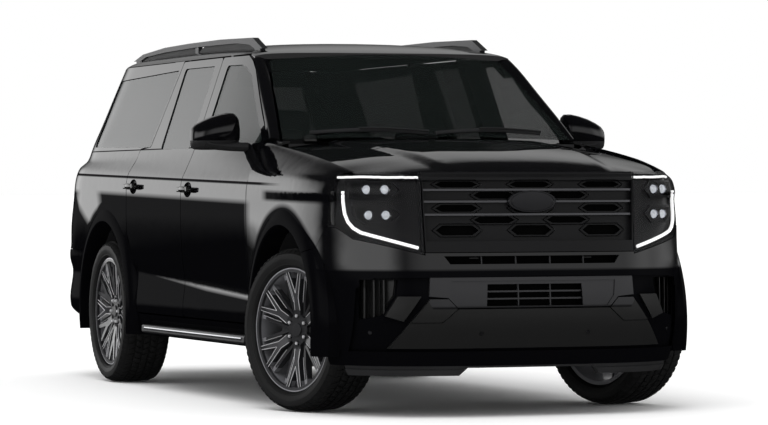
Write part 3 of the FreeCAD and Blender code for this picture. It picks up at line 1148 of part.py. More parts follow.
wheel.rotate(V(0, 0, 0), V(0, 1, 0), -66)
wheel.translate(V(840, 400, 1190))
save("steering_wheel", wheel.cut(dash))


def seat(x, y, width, floor_z, back_height):
    half = width / 2
    base = box(x - 200, x + 200, y - half + 60, y + half - 60, floor_z, floor_z + 160)
    cushion = rounded_box(x - 260, x + 260, y - half, y + half, floor_z + 160, floor_z + 320, 40.0)
    outline = [(x - 260 - SEAT_GAP, floor_z + 190), (x - 260 - SEAT_GAP, floor_z + 335),
               (x - 380, floor_z + back_height), (x - 500, floor_z + back_height), (x - 395, floor_z + 190)]
    back = panel(outline, "y", y - half + 10, y + half - 10, 40.0)
    head = rounded_box(x - 505, x - 410, y - 130, y + 130, floor_z + back_height + 30, floor_z + back_height + 190, 40.0)
    post = box(x - 465, x - 450, y - 60, y + 60, floor_z + back_height - 30, floor_z + back_height + 50)
    return fused([base, cushion, back, head, post])


floor_top = FLOOR_Z + FLOOR_THICKNESS
save("seats_front", Part.makeCompound([seat(480.0, 400.0, 540.0, floor_top, 860.0), seat(480.0, -400.0, 540.0, floor_top,
                                                                                     860.0)]))
save("seats_middle", Part.makeCompound([seat(-420.0, 430.0, 560.0, floor_top, 830.0), seat(-420.0, -430.0, 560.0, floor_top,
                                                                                       830.0)]))
rear_floor = LOAD_FLOOR_Z + FLOOR_THICKNESS
save("seats_rear", Part.makeCompound([seat(-1400.0, 270.0, 520.0, rear_floor - 120 + 120, 640.0), seat(-1400.0, -270.0,
                                                                                       520.0, rear_floor, 640.0)]))


# Wheels, built about their own spin axis with the outer face towards +Y
def tyre():
    half = TYRE_WIDTH / 2
    lip = RIM_HALF_WIDTH
    points = [(RIM_RADIUS + SEAT_GAP, lip - 11.5), (RIM_FLANGE_RADIUS + 2.0, lip - 10.8),
              (RIM_FLANGE_RADIUS + 3.5, lip + 3.0), (345.0, half - 1.0), (365.0, half), (392.0, half - 5.0),
              (409.0, half - 20.0), (TYRE_RADIUS, half - 50.0)]
    outline = points + [(r, -y) for r, y in reversed(points)]
    corners = [V(r, y, 0) for r, y in outline]
    face = Part.Face(Part.makePolygon(corners + [corners[0]]))
    return face.revolve(V(0, 0, 0), V(0, 1, 0), 360)


def spoke(outline, lean, turn):
    """One blade through the whole wheel, drawn along the wheel's radius and turned into place."""
    blade = prism([(r, lean * across) for r, across in outline], "y", -150.0, 150.0)
    blade.rotate(V(0, 0, 0), V(0, 1, 0), turn)
    return blade


def rim():
    lip = RIM_HALF_WIDTH
    profile = [(RIM_RADIUS - RIM_WALL, -lip), (RIM_FLANGE_RADIUS, -lip), (RIM_FLANGE_RADIUS, -lip + 8.0),
               (RIM_RADIUS, -lip + 10.0), (RIM_RADIUS, lip - 10.0), (RIM_FLANGE_RADIUS, lip - 8.0),
               (RIM_FLANGE_RADIUS, lip), (RIM_RADIUS - RIM_WALL, lip)]
    corners = [V(r, y, 0) for r, y in profile]
    barrel = Part.Face(Part.makePolygon(corners + [corners[0]])).revolve(V(0, 0, 0), V(0, 1, 0), 360)
    face_y = lip - HUB_RECESS
    dish = [(0.0, face_y), (HUB_RADIUS, face_y), (170.0, face_y + 12.0), (RIM_RADIUS - 4.0, lip - 6.0),
            (RIM_RADIUS - 4.0, lip - 6.0 - SPOKE_DEPTH), (170.0, face_y + 12.0 - SPOKE_DEPTH - 6.0),
            (HUB_RADIUS, face_y - SPOKE_DEPTH - 30.0), (0.0, face_y - SPOKE_DEPTH - 30.0)]
    corners = [V(r, y, 0) for r, y in dish]
    disc = Part.Face(Part.makePolygon(corners + [corners[0]])).revolve(V(0, 0, 0), V(0, 1, 0), 360)
    low_disc = disc.copy()
    low_disc.translate(V(0, -SPOKE_STEP, 0))
    high = [Part.makeCylinder(HUB_RADIUS - 14.0, 300.0, V(0, -150, 0), V(0, 1, 0))]
    low = []
    for i in range(SPOKE_COUNT):
        turn = 90.0 + 360.0 * i / SPOKE_COUNT
        for lean in (-1.0, 1.0):
            high.append(spoke([(50, 0), (FORK_RADIUS + 14, 0), (RIM_RADIUS, ARM_SPREAD - 9), (RIM_RADIUS, ARM_SPREAD + 9),
                               (FORK_RADIUS - 12, STEM_HALF), (50, STEM_HALF + 4)], lean, turn))
            low.append(spoke([(70, 30), (RIM_RADIUS, TWIN_SPREAD - 8), (RIM_RADIUS, TWIN_SPREAD + 8), (70, 46)], lean, turn))
            low.append(spoke([(RIM_RADIUS - 26, ARM_SPREAD - 4), (RIM_RADIUS, ARM_SPREAD), (RIM_RADIUS, TWIN_SPREAD),
                              (RIM_RADIUS - 26, TWIN_SPREAD - 12)], lean, turn))
    spokes_shape = disc.common(high[0].multiFuse(high[1:])).fuse(low_disc.common(low[0].multiFuse(low[1:])))
    disc_brake = Part.makeCylinder(BRAKE_DISC_RADIUS, BRAKE_DISC_WIDTH, V(0, BRAKE_DISC_Y, 0), V(0, 1, 0))
    bell = Part.makeCylinder(HUB_RADIUS - 12.0, face_y - SPOKE_DEPTH - BRAKE_DISC_Y, V(0, BRAKE_DISC_Y, 0), V(0, 1, 0))
    result = fused([barrel, spokes_shape, disc_brake, bell])
    for i in range(LUG_COUNT):
        angle = math.radians(30.0 + 360.0 * i / LUG_COUNT)
        spot = V(LUG_CIRCLE / 2 * math.cos(angle), face_y - 16.0, LUG_CIRCLE / 2 * math.sin(angle))
        result = result.cut(Part.makeCylinder(LUG_RADIUS, 30.0, spot, V(0, 1, 0)))
        result = result.fuse(Part.makeCylinder(LUG_RADIUS - 4.0, 22.0, spot, V(0, 1, 0)))
    cap = Part.makeCylinder(CAP_RADIUS, 8.0, V(0, face_y - 1.0, 0), V(0, 1, 0))
    return result.fuse(cap.makeFillet(3.0, [e for e in cap.Edges if e.BoundBox.YMin > face_y + 6.0]))


def knuckle():
    """Steering upright in wheel coordinates, with its kingpin on the steering axis."""
    pin_y = KINGPIN_Y - TRACK / 2
    post = box(-26, 26, pin_y - 24, pin_y + 6, -120, 138)
    stub = Part.makeCylinder(34.0, BRAKE_DISC_Y - SEAT_GAP - pin_y, V(0, pin_y, 0), V(0, 1, 0))
    lower_joint = Part.makeCylinder(16.0, 8.0, V(0, pin_y, -126.7), V(0, 0, 1))
    upper_joint = Part.makeCylinder(16.0, 8.0, V(0, pin_y, 134.7), V(0, 0, 1))
    inner_pad = box(-208, -110, BRAKE_DISC_Y - 24, BRAKE_DISC_Y - 5, -60, 60)
    outer_pad = box(-208, -130, 5, 24, -60, 60)
    bridge = box(-216, -202, BRAKE_DISC_Y - 24, 24, -60, 60)
    bracket = box(-120, -10, BRAKE_DISC_Y - 24, BRAKE_DISC_Y - 8, -30, 30)
    return fused([post, stub, lower_joint, upper_joint, inner_pad, outer_pad, bridge, bracket])


def put_wheel(shape, axle_x, side, steer):
    result = shape.copy()
    if side < 0:
        result = mirrored(result)
    if steer:
        result.rotate(V(0, side * (KINGPIN_Y - TRACK / 2), 0), V(0, 0, 1), STEER_ANGLE)
    result.translate(V(axle_x, side * TRACK / 2, TYRE_RADIUS))
    return result


tyre_shape = tyre()
rim_shape = rim()
knuckle_shape = knuckle()
for end, axle_x, steer in (("front", FRONT_AXLE_X, True), ("rear", REAR_AXLE_X, False)):
    for side_name, side in (("left", 1), ("right", -1)):
        save("tyre_" + end + "_" + side_name, put_wheel(tyre_shape, axle_x, side, steer))
        save("rim_" + end + "_" + side_name, put_wheel(rim_shape, axle_x, side, steer))
for side_name, side in (("left", 1), ("right", -1)):
    save("knuckle_" + side_name, put_wheel(knuckle_shape, FRONT_AXLE_X, side, True))
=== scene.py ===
# %% Load the measured frame
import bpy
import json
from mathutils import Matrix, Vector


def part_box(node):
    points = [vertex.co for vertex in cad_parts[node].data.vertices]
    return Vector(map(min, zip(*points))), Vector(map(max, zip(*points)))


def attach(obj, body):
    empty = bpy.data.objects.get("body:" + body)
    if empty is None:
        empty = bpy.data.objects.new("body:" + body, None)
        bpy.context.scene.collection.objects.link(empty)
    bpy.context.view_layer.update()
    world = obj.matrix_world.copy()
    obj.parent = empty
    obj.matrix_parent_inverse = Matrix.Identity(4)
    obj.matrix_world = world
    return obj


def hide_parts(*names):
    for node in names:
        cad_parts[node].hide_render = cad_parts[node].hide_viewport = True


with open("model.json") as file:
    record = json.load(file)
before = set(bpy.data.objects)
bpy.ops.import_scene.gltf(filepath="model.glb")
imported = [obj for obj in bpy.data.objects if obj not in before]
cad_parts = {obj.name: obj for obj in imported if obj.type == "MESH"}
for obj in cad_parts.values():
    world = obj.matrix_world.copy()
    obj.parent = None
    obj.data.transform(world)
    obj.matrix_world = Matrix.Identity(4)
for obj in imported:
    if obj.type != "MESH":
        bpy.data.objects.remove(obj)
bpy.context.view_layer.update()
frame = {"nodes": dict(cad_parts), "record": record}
print("nodes in the frame:", len(frame["nodes"]))

# %% [markdown]
# The vehicle comes in as plain measured solids, each where it belongs. This lesson dresses
# them: first a small language for shaders, then the finishes, then the pieces that need a
# finer shape than a solid has, and at the end the studio and the camera. Everything is in
# metres: X runs forward, Y to the left and Z up from the ground.

# %% Modules and short names
import json
import math
import bmesh
import bpy
from mathutils import Matrix, Vector

nodes = frame["nodes"]
joints = {j["name"]: j for j in frame["record"]["behaviour"]["joints"]}
scene = bpy.context.scene
SIDES = (("left", 1.0), ("right", -1.0))
print("joints:", ", ".join(sorted(joints)))


# %% [markdown]
# A shader is a sum of many small nodes, which is hard to read as a list of links. Wrapping
# a socket in a class that knows + - * / lets a mask be written as plain arithmetic. A second
# class holds one material while it is made, and one of its methods makes any other node.

# %% A shader language in one class
class Val:
    """A socket that adds its own Math nodes when it is used in arithmetic."""

    def __init__(self, tree, socket):
        self.tree = tree
        self.socket = socket

    def math(self, operation, *others):
        node = self.tree.nodes.new("ShaderNodeMath")
        node.operation = operation
        for slot, value in zip(node.inputs, (self,) + others):
            feed(self.tree, slot, value)
        return Val(self.tree, node.outputs[0])

    def __add__(self, other):
        return self.math("ADD", other)

    def __radd__(self, other):
        return self.math("ADD", other)

    def __sub__(self, other):
        return self.math("SUBTRACT", other)

    def __rsub__(self, other):
        return (self * -1.0) + other

    def __mul__(self, other):
        return self.math("MULTIPLY", other)

    def __rmul__(self, other):
        return self.math("MULTIPLY", other)

    def __truediv__(self, other):
        return self.math("DIVIDE", other)

    def clamp(self):
        result = self.math("ADD", 0.0)
        result.socket.node.use_clamp = True
        return result


def feed(tree, slot, value):
    """Link a wrapped socket into a slot, or write a number or colour onto it."""
    if isinstance(value, Val):
        tree.links.new(value.socket, slot)
    else:
        slot.default_value = value


class Finish:
    """One material under construction, with its Principled shader at hand."""

    def __init__(self, name):
        self.material = bpy.data.materials.new(name)
        self.material.use_nodes = True
        self.tree = self.material.node_tree
        self.shader = self.tree.nodes["Principled BSDF"]

    def add(self, kind, output=0, settings=None, **sockets):
        """Any node: its type, its settings first, then its sockets by name."""
        node = self.tree.nodes.new(kind)
        for key, value in (settings or {}).items():
            setattr(node, key, value)
        for key, value in sockets.items():
            feed(self.tree, node.inputs[key.replace("_", " ")], value)
        return Val(self.tree, node.outputs[output])

    def place(self, scale=(1.0, 1.0, 1.0)):
        """Object coordinates in metres, stretched by a scale."""
        coordinates = self.add("ShaderNodeTexCoord", output="Object")
        return self.add("ShaderNodeMapping", Vector=coordinates, Scale=scale)

    def noise(self, scale, detail=2.0, stretch=(1.0, 1.0, 1.0)):
        return self.add("ShaderNodeTexNoise", Vector=self.place(stretch), Scale=scale, Detail=detail)

    def ramp(self, value, stops):
        """A grey ramp from (position, grey) stops."""
        node = self.tree.nodes.new("ShaderNodeValToRGB")
        elements = node.color_ramp.elements
        while len(elements) < len(stops):
            elements.new(0.5)
        for element, (position, grey) in zip(elements, stops):
            element.position = position
            element.color = (grey, grey, grey, 1.0)
        feed(self.tree, node.inputs["Fac"], value)
        return Val(self.tree, node.outputs["Color"])

    def mix(self, factor, first, second):
        """Blend two colours by a mask."""
        node = self.tree.nodes.new("ShaderNodeMix")
        node.data_type = "RGBA"
        feed(self.tree, node.inputs["Factor"], factor)
        for slot, colour in ((node.inputs[6], first), (node.inputs[7], second)):
            feed(self.tree, slot, colour if isinstance(colour, Val) else (*colour, 1.0))
        return Val(self.tree, node.outputs[2])

    def vector(self, operation, first, second=None, output="Vector"):
        """Vector Math on one or two vectors; lengths and products come out as Value."""
        result = self.add("ShaderNodeVectorMath", output, {"operation": operation}, Vector=first)
        if second is not None:
            feed(self.tree, result.socket.node.inputs[1], second)
        return result

    def bump(self, height, distance, strength):
        """Feed the shader's normal from a height mask; the distance is in metres."""
        result = self.add("ShaderNodeBump", Height=height, Distance=distance, Strength=strength)
        self.tree.links.new(result.socket, self.shader.inputs["Normal"])

    def cover(self, mask, top):
        """Lay a second whole shader over this one where the mask is 1."""
        both = self.add("ShaderNodeMixShader")
        for slot, value in zip(both.socket.node.inputs, (mask, Val(self.tree, self.shader.outputs[0]), top)):
            feed(self.tree, slot, value)
        feed(self.tree, self.tree.nodes["Material Output"].inputs["Surface"], both)

    def set(self, **sockets):
        for key, value in sockets.items():
            slot = self.shader.inputs[key.replace("_", " ")]
            if key.endswith("Color") and not isinstance(value, Val):
                value = (*value, 1.0)
            feed(self.tree, slot, value)
        return self


print("shader language ready")


# %% [markdown]
# Many finishes depend on where a point lies on the vehicle. Object coordinates give that in
# metres, because every piece keeps its origin at the origin of the frame. A step with a
# short ramp turns such a measure into a mask from 0 to 1 without a jagged edge.

# %% Places as masks
def object_axis(f, axis):
    """One Object coordinate in metres: 0 is forward, 1 is to the left, 2 is up."""
    return f.add("ShaderNodeSeparateXYZ", output=axis, Vector=f.add("ShaderNodeTexCoord", output="Object"))


def across(f):
    """The distance from the centre line, which is the same on both sides."""
    return object_axis(f, 1).math("ABSOLUTE")


def step_mask(value, edge, ramp=0.0015):
    """0 below the edge, then a short ramp up to 1."""
    return ((value - edge) / ramp).clamp()


def below_mask(value, edge, ramp=0.0015):
    """0 above the edge, then a short ramp up to 1 below it."""
    return step_mask(value * -1.0, -edge, ramp)


def band(value, low, high):
    """1 between two edges, each given with its ramp."""
    return step_mask(value, *low) * (1.0 - step_mask(value, *high))


def tint(colour, factor):
    return tuple(factor * c for c in colour)


print("masks ready")


# %% [markdown]
# Gloss black paint is a near-black base under a hard clear coat. Almost all that the eye
# sees of it is what the coat reflects, so the base varies only a little: fine flakes and an
# uneven roughness. The base has no shine of its own, which would only grey the black.

# %% Gloss lacquer
LACQUER_BLACK = (0.0016, 0.0016, 0.002)


def lacquer(name, colour=LACQUER_BLACK, haze=0.015):
    f = Finish(name)
    fleck = f.ramp(f.noise(2600.0, 0.0), [(0.62, 0.0), (0.78, 1.0)])
    f.set(Base_Color=f.mix(fleck, colour, tint(colour, 2.4)))
    f.set(Roughness=f.noise(3.0, 3.0) * 0.1 + 0.42)
    return f.set(Specular_IOR_Level=0.0, Coat_Weight=1.0, Coat_Roughness=haze, Coat_IOR=1.52)


gloss_trim = lacquer("gloss black trim", (0.004, 0.004, 0.004), 0.04).material
print("lacquer made")


# %% [markdown]
# The sides of the real vehicle are creased. Under the shoulder line, on the wheel flares and towards the sill
# the panel turns away and mirrors dark ground instead of pale sky. The facets of the solids would break so
# fine a mirrored edge into steps. So the finish paints that shade in: masks from the position take the clear
# coat away where the real panel looks dark, a painted shade and painted dark reflection in place of the
# mirrored one.

# %% Lines and edges of the painted shade on the body paint
SHOULDER_LINE = (-2.121, 1.232, -0.01866)
SILL_LINE = (0.200, 0.618, -0.0426)
ARCH_X = (1.833, -1.510)
ARCH_Z = 0.445
REAR_HIGHLIGHT = (-1.880, 1.000)
TAIL_SLANT = 2.26
PAINTED_SHADE_MOST = 0.97
EDGES = {
    "side": (0.880, 0.030),
    "crease": ((-0.0150, 0.0060), (0.0015, 0.0020)),
    "crease end": (1.450, 0.350),
    "belt": ((1.3600, 0.0020), (1.3665, 0.0020)),
    "belt end": (1.100, 0.020),
    "sill": (-0.008, 0.022),
    "rear fade": (0.450, 1.000),
    "rear fade top": (0.040, 0.010),
    "flare": (0.590, 0.030),
    "fender highlight": (1.200, 0.120),
    "rear highlight": (0.200, 0.120),
    "door top": (-0.088, 0.030),
    "door foot": (0.000, 0.030),
    "tail": (-2.460, 0.140),
    "vent": ((-0.098, 0.020), (-0.050, 0.020)),
    "vent start": (1.480, 0.100),
    "chin start": (2.200, 0.050),
    "chin top": (0.738, 0.014),
}
print("edges of the body paint, each a place and a ramp:", len(EDGES))


# %% [markdown]
# A line along the body is kept as one point of it and a slope, and the mask value is how far a point lies
# above it. Each zone of painted shade is then one product of steps, and their sum is what the coat loses.
# These zones count only far out from the centre line, on the sides. The painted shade of the dark chin under
# the nose crosses the middle, so it is added after that.

# %% Body paint with painted shade
def over_line(x, z, line):
    """Height above a line given by a place, its height there and its slope."""
    start, level, slope = line
    return z - (x - start) * slope - level


def side_distance(x, z, centre):
    """Distance from a point, as seen from the side."""
    return ((x - centre[0]) * (x - centre[0]) + (z - centre[1]) * (z - centre[1])).math("SQRT")


def body_paint(name):
    """Gloss lacquer with painted shade: the clear coat is taken away under the shoulder crease, on the wheel
    flares, at the sill and in the other dark zones.
    """
    f = lacquer(name)
    x, z = object_axis(f, 0), object_axis(f, 2)
    shoulder, sill = over_line(x, z, SHOULDER_LINE), over_line(x, z, SILL_LINE)
    crease = band(shoulder, *EDGES["crease"]) * (1.0 - step_mask(x, *EDGES["crease end"]))
    belt = band(z, *EDGES["belt"]) * (1.0 - step_mask(x, *EDGES["belt end"]))
    foot = below_mask(sill, *EDGES["sill"])
    rear_fade = below_mask(x, *EDGES["rear fade"]) * below_mask(sill, *EDGES["rear fade top"])
    flares = [1.0 - step_mask(side_distance(x, z, (centre, ARCH_Z)), *EDGES["flare"]) for centre in ARCH_X]
    rear_lit = 1.0 - step_mask(side_distance(x, z, REAR_HIGHLIGHT), *EDGES["rear highlight"])
    lit = (step_mask(x, *EDGES["fender highlight"]) + rear_lit).clamp()
    door = below_mask(shoulder, *EDGES["door top"]) * step_mask(sill, *EDGES["door foot"]) * (1.0 - lit)
    tail = below_mask(x + shoulder * TAIL_SLANT, *EDGES["tail"]) * below_mask(shoulder, 0.0)
    vent = band(shoulder, *EDGES["vent"]) * step_mask(x, *EDGES["vent start"])
    chin = step_mask(x, *EDGES["chin start"]) * below_mask(z, *EDGES["chin top"])
    # Where the coat is taken away the black base shows: painted shade and painted dark reflection.
    painted_shade = (crease + belt + rear_fade + foot + flares[0] + flares[1] + door + tail + vent).clamp()
    painted_shade = (painted_shade * step_mask(across(f), *EDGES["side"]) + chin).clamp() * PAINTED_SHADE_MOST
    return f.set(Coat_Weight=1.0 - painted_shade).material


paint = body_paint("gloss black paint with painted shade")
print("body paint made")


# %% [markdown]
# Moulded plastic has one colour all through, so its look comes from its surface: a fine
# grain etched into the mould, and highs that hands and brushes have rubbed smoother. A fine
# noise gives the grain as bump, and a coarse one gives the rubbed places.

# %% Plastics
def plastic(name, colour, roughness, grain=900.0, depth=0.00012, shine=0.45):
    f = Finish(name)
    texture = f.noise(grain, 2.0)
    rub = f.noise(5.0, 3.0)
    f.set(Base_Color=f.mix(rub, colour, tint(colour, 1.7)))
    f.set(Roughness=rub * 0.12 + roughness - texture * 0.06, Specular_IOR_Level=shine)
    f.bump(texture, depth, 0.5)
    return f.material


satin_trim = plastic("satin dark trim", (0.016, 0.016, 0.017), 0.38, 1400.0, 0.00004)
black_plastic = plastic("black moulded plastic", (0.012, 0.012, 0.013), 0.55)
# This near black is painted shade: it dresses the grille backing, so the grille openings read as dark space
# behind them.
painted_shade_void = plastic("unlit black plastic", (0.0008, 0.0008, 0.0008), 0.8, shine=0.04)
cabin_plastic = plastic("cabin plastic", (0.02, 0.02, 0.022), 0.6)
plate_white = plastic("blank plate", (0.5, 0.5, 0.5), 0.4, 200.0, 0.00002)
headliner = plastic("woven headliner", (0.018, 0.018, 0.019), 0.95, 1500.0, 0.0002, 0.1)
print("plastics made")


# %% [markdown]
# Metals differ mostly in how rough they are and what was done to them last: turned on a
# lathe, cast, brushed, rolled or left to gather road dust. One function makes them all, with
# a fine line that can be stretched into brushing and a broad cloud that darkens the colour.

# %% Metals
def metal(name, colour, roughness, streak=(1.0, 1.0, 1.0), scale=300.0, metallic=1.0):
    f = Finish(name)
    line = f.noise(scale, 2.0, streak)
    f.set(Base_Color=f.mix(f.noise(7.0, 3.0), tint(colour, 0.8), colour))
    f.set(Metallic=metallic, Roughness=line * 0.14 + roughness - 0.05)
    f.bump(line, 0.00003, 0.4)
    return f.material


machined = metal("machined alloy", (0.72, 0.72, 0.74), 0.3, scale=700.0, metallic=0.45)
bar_trim = metal("dark chrome bars", (0.16, 0.16, 0.17), 0.3)
bright_trim = metal("bright trim", (0.62, 0.63, 0.66), 0.12)
mirror_glass = metal("silvered mirror", (0.75, 0.77, 0.8), 0.06)
satin_rail = metal("satin grey rail", (0.035, 0.035, 0.038), 0.36, (0.05, 1.0, 1.0), 500.0, 0.7)
frame_steel = metal("painted chassis steel", (0.02, 0.02, 0.02), 0.55, metallic=0.2)
bare_steel = metal("dull exhaust steel", (0.22, 0.2, 0.18), 0.42)
cast_metal = metal("cast metal", (0.16, 0.16, 0.165), 0.5, scale=900.0)
print("metals made")


# %% [markdown]
# Side glass behind the front row is dyed dark, and the windshield is the clearest. Real
# glass is green inside its thickness, so a thin dark pane with a faint green tint and a
# polished surface is enough. Alpha lets the cabin show through, and a faint smear keeps the
# polish from being perfect.

# %% Glass
def pane(name, colour, alpha, shine=0.5):
    f = Finish(name)
    smear = f.noise(2.5, 3.0)
    f.set(Base_Color=f.mix(smear, colour, tint(colour, 1.5)))
    f.set(Roughness=smear * 0.02 + 0.01, Specular_IOR_Level=shine, Alpha=alpha)
    return f.material


tinted_glass = pane("privacy glass", (0.006, 0.008, 0.008), 0.84)
front_glass = pane("front door glass", (0.01, 0.013, 0.012), 0.62)
shield_glass = pane("windshield glass", (0.007, 0.009, 0.0085), 0.44)
lens_clear = pane("clear lamp lens", (0.004, 0.004, 0.0045), 0.18, 0.2)
lens_red = pane("red lamp lens", (0.16, 0.004, 0.004), 0.9)
print("glass made")


# %% [markdown]
# Three soft finishes remain. A lit strip is plain emission, varied a little so that it
# doesn't look printed. Leather is a net of small cells, which a Voronoi texture gives, set in
# as bump. Rubber is matt and dusty with a very fine grain, and shines less than plastic.

# %% Lamps that glow, leather and rubber
def glowing(name, colour, strength):
    f = Finish(name)
    f.set(Base_Color=colour, Roughness=0.3, Emission_Strength=strength)
    f.set(Emission_Color=f.mix(f.noise(120.0, 1.0), colour, tint(colour, 0.85)))
    return f.material


def leather(name, colour):
    f = Finish(name)
    cells = f.add("ShaderNodeTexVoronoi", Vector=f.place(), Scale=420.0)
    tone = f.noise(4.0, 3.0)
    f.set(Base_Color=f.mix(tone, tint(colour, 0.7), tint(colour, 1.25)))
    f.set(Roughness=tone * 0.12 + 0.42, Specular_IOR_Level=0.4)
    f.bump(f.ramp(cells, [(0.0, 0.0), (0.35, 1.0)]), 0.00025, 0.5)
    return f.material


def rubber(name):
    f = Finish(name)
    dust = f.noise(9.0, 4.0)
    f.set(Base_Color=f.mix(dust, (0.0055, 0.0055, 0.006), (0.012, 0.012, 0.012)))
    f.set(Roughness=dust * 0.14 + 0.46, Specular_IOR_Level=0.24)
    f.bump(f.noise(1500.0, 1.0), 0.00015, 0.5)
    return f.material


day_lamp = glowing("daytime lamp white", (1.0, 1.0, 1.0), 1.0)
rear_red = glowing("red tail strip", (0.55, 0.01, 0.01), 0.8)
seat_leather = leather("black seat leather", (0.03, 0.03, 0.032))
tyre_rubber = rubber("tyre rubber")
print("lamps, leather and rubber made")


# %% [markdown]
# The lower front is one solid with two looks: a satin metallic panel in the middle, and black fins and blocks
# at its sides and foot. Slanted masks tell them apart, as the real panel narrows downwards. The grille is
# satin black, and the inside of each lamp is a dark chrome with faint ribs, painted lighter as a painted
# highlight where they would catch a little light.

# %% Finishes of the nose
PANEL_HALF_WIDTH = 0.560
PANEL_SLANT = 0.55
PANEL_MIDDLE = 0.600
PANEL_FOOT = 0.540


def front_trim(name):
    f = Finish(name)
    up = object_axis(f, 2)
    side = step_mask(across(f) - (up - PANEL_MIDDLE) * PANEL_SLANT, PANEL_HALF_WIDTH)
    black = (side + below_mask(up, PANEL_FOOT)).clamp()
    panel = f.mix(step_mask(up, PANEL_FOOT + 0.005, 0.01), (0.012, 0.012, 0.013), (0.06, 0.06, 0.063))
    f.set(Base_Color=f.mix(black, panel, (0.008, 0.008, 0.008)), Metallic=black * -0.8 + 0.8)
    f.set(Roughness=f.noise(1600.0, 1.0) * 0.06 + 0.3, Specular_IOR_Level=0.4)
    return f.material


def lamp_chrome_painted_rib_highlights(name):
    f = Finish(name)
    # The ribs are a wave pattern painted lighter in the colour: a painted highlight, with no bump.
    ribs = (f.add("ShaderNodeTexWave", Vector=f.place(), Scale=90.0) * 0.5).clamp()
    f.set(Base_Color=f.mix(ribs, (0.012, 0.012, 0.013), (0.05, 0.05, 0.053)))
    f.set(Metallic=0.3, Roughness=f.noise(40.0, 1.0) * 0.1 + 0.36, Specular_IOR_Level=0.15)
    return f.material


def grille_paint(name):
    f = Finish(name)
    grain = f.noise(900.0, 1.0)
    f.set(Base_Color=f.mix(grain, (0.004, 0.004, 0.0045), (0.007, 0.007, 0.008)))
    f.set(Roughness=grain * 0.08 + 0.42, Specular_IOR_Level=0.3)
    return f.material


grille_finish = grille_paint("dark satin grille")
trim_finish = front_trim("lower front trim")
lamp_inside = lamp_chrome_painted_rib_highlights("dark lamp chrome")
print("nose finishes made")


# %% [markdown]
# Every solid of the frame gets the finish of the real piece. A solid carries one material
# slot, so a finish is a single assignment, kept here in one readable table.

# %% Dress the solids
FINISHES = {
    paint: ["body_sides", "roof", "hood", "fenders", "front_bumper", "rear_bumper", "liftgate",
            "door_front_left", "door_front_right", "door_rear_left", "door_rear_right"],
    gloss_trim: ["mirror_left", "mirror_right"],
    black_plastic: ["air_dam", "firewall", "wheel_houses", "radiator"],
    grille_finish: ["grille"],
    bar_trim: ["grille_bars"],
    trim_finish: ["bumper_trim"],
    lamp_inside: ["lamp_housings"],
    day_lamp: ["day_lamps"],
    painted_shade_void: ["grille_backing"],
    satin_rail: ["roof_rails", "running_boards"],
    tinted_glass: ["quarter_glass", "liftgate_glass", "glass_rear_left", "glass_rear_right"],
    front_glass: ["glass_front_left", "glass_front_right"],
    shield_glass: ["windshield"],
    lens_clear: ["headlamps"],
    lens_red: ["tail_lamps"],
    cabin_plastic: ["dashboard", "steering_wheel", "floor"],
    seat_leather: ["seats_front", "seats_middle", "seats_rear"],
    frame_steel: ["chassis_frame", "tow_receiver", "front_suspension", "rear_suspension", "fuel_tank"],
    cast_metal: ["powertrain", "knuckle_left", "knuckle_right"],
    bare_steel: ["exhaust", "propeller_shaft"],
    tyre_rubber: [n for n in nodes if n.startswith("tyre")],
    machined: [n for n in nodes if n.startswith("rim")],
}


def dress(obj, material):
    obj.data.materials.clear()
    obj.data.materials.append(material)


for material, names in FINISHES.items():
    for name in names:
        dress(nodes[name], material)
dressed = sum(len(v) for v in FINISHES.values())
print("solids dressed:", dressed, "of", len(nodes))


# %% [markdown]
# Some pieces need a finer shape than a solid has. They are all skins over rows of points: a
# lathe turns one row about an axle, and a tube sets rings along a path. `piece` merges
# doubled points, turns the faces outwards, keeps hard edges sharp and lets the mesh ride a
# body, so that it moves with the joints.

# %% Mesh helpers
MERGE_WITHIN = 0.00002


def piece(name, mesh, material, body="body", replaced=(), sharp=32.0):
    """Put a finished bmesh in the scene as one piece of the vehicle."""
    bmesh.ops.remove_doubles(mesh, verts=mesh.verts, dist=MERGE_WITHIN)
    bmesh.ops.recalc_face_normals(mesh, faces=mesh.faces)
    data = bpy.data.meshes.new(name)
    mesh.to_mesh(data)
    mesh.free()
    data.shade_smooth()
    data.set_sharp_from_angle(angle=math.radians(sharp))
    data.materials.append(material)
    obj = bpy.data.objects.new(name, data)
    scene.collection.objects.link(obj)
    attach(obj, body)
    if replaced:
        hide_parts(*replaced)
    return obj


def skin_rows(mesh, rows, closed=True, capped=False):
    """Join rows of points by faces; closed rows are rings, capped ends get a face."""
    rings = [[mesh.verts.new(point) for point in row] for row in rows]
    for first, second in zip(rings, rings[1:]):
        count = len(first)
        for i in range(count if closed else count - 1):
            j = (i + 1) % count
            mesh.faces.new((first[i], first[j], second[j], second[i]))
    if capped:
        mesh.faces.new(rings[0])
        mesh.faces.new(rings[-1])
    return rings


def about_axle(radius, offset, angle):
    """A point at a radius and an angle about the Y axis."""
    return Vector((radius * math.cos(angle), offset, radius * math.sin(angle)))


def lathe(mesh, profile, steps, closed_profile=True):
    """Turn (radius, offset) points about the Y axis."""
    rows = [[about_axle(r, y, 2.0 * math.pi * i / steps) for r, y in profile] for i in range(steps + 1)]
    skin_rows(mesh, rows, closed_profile)


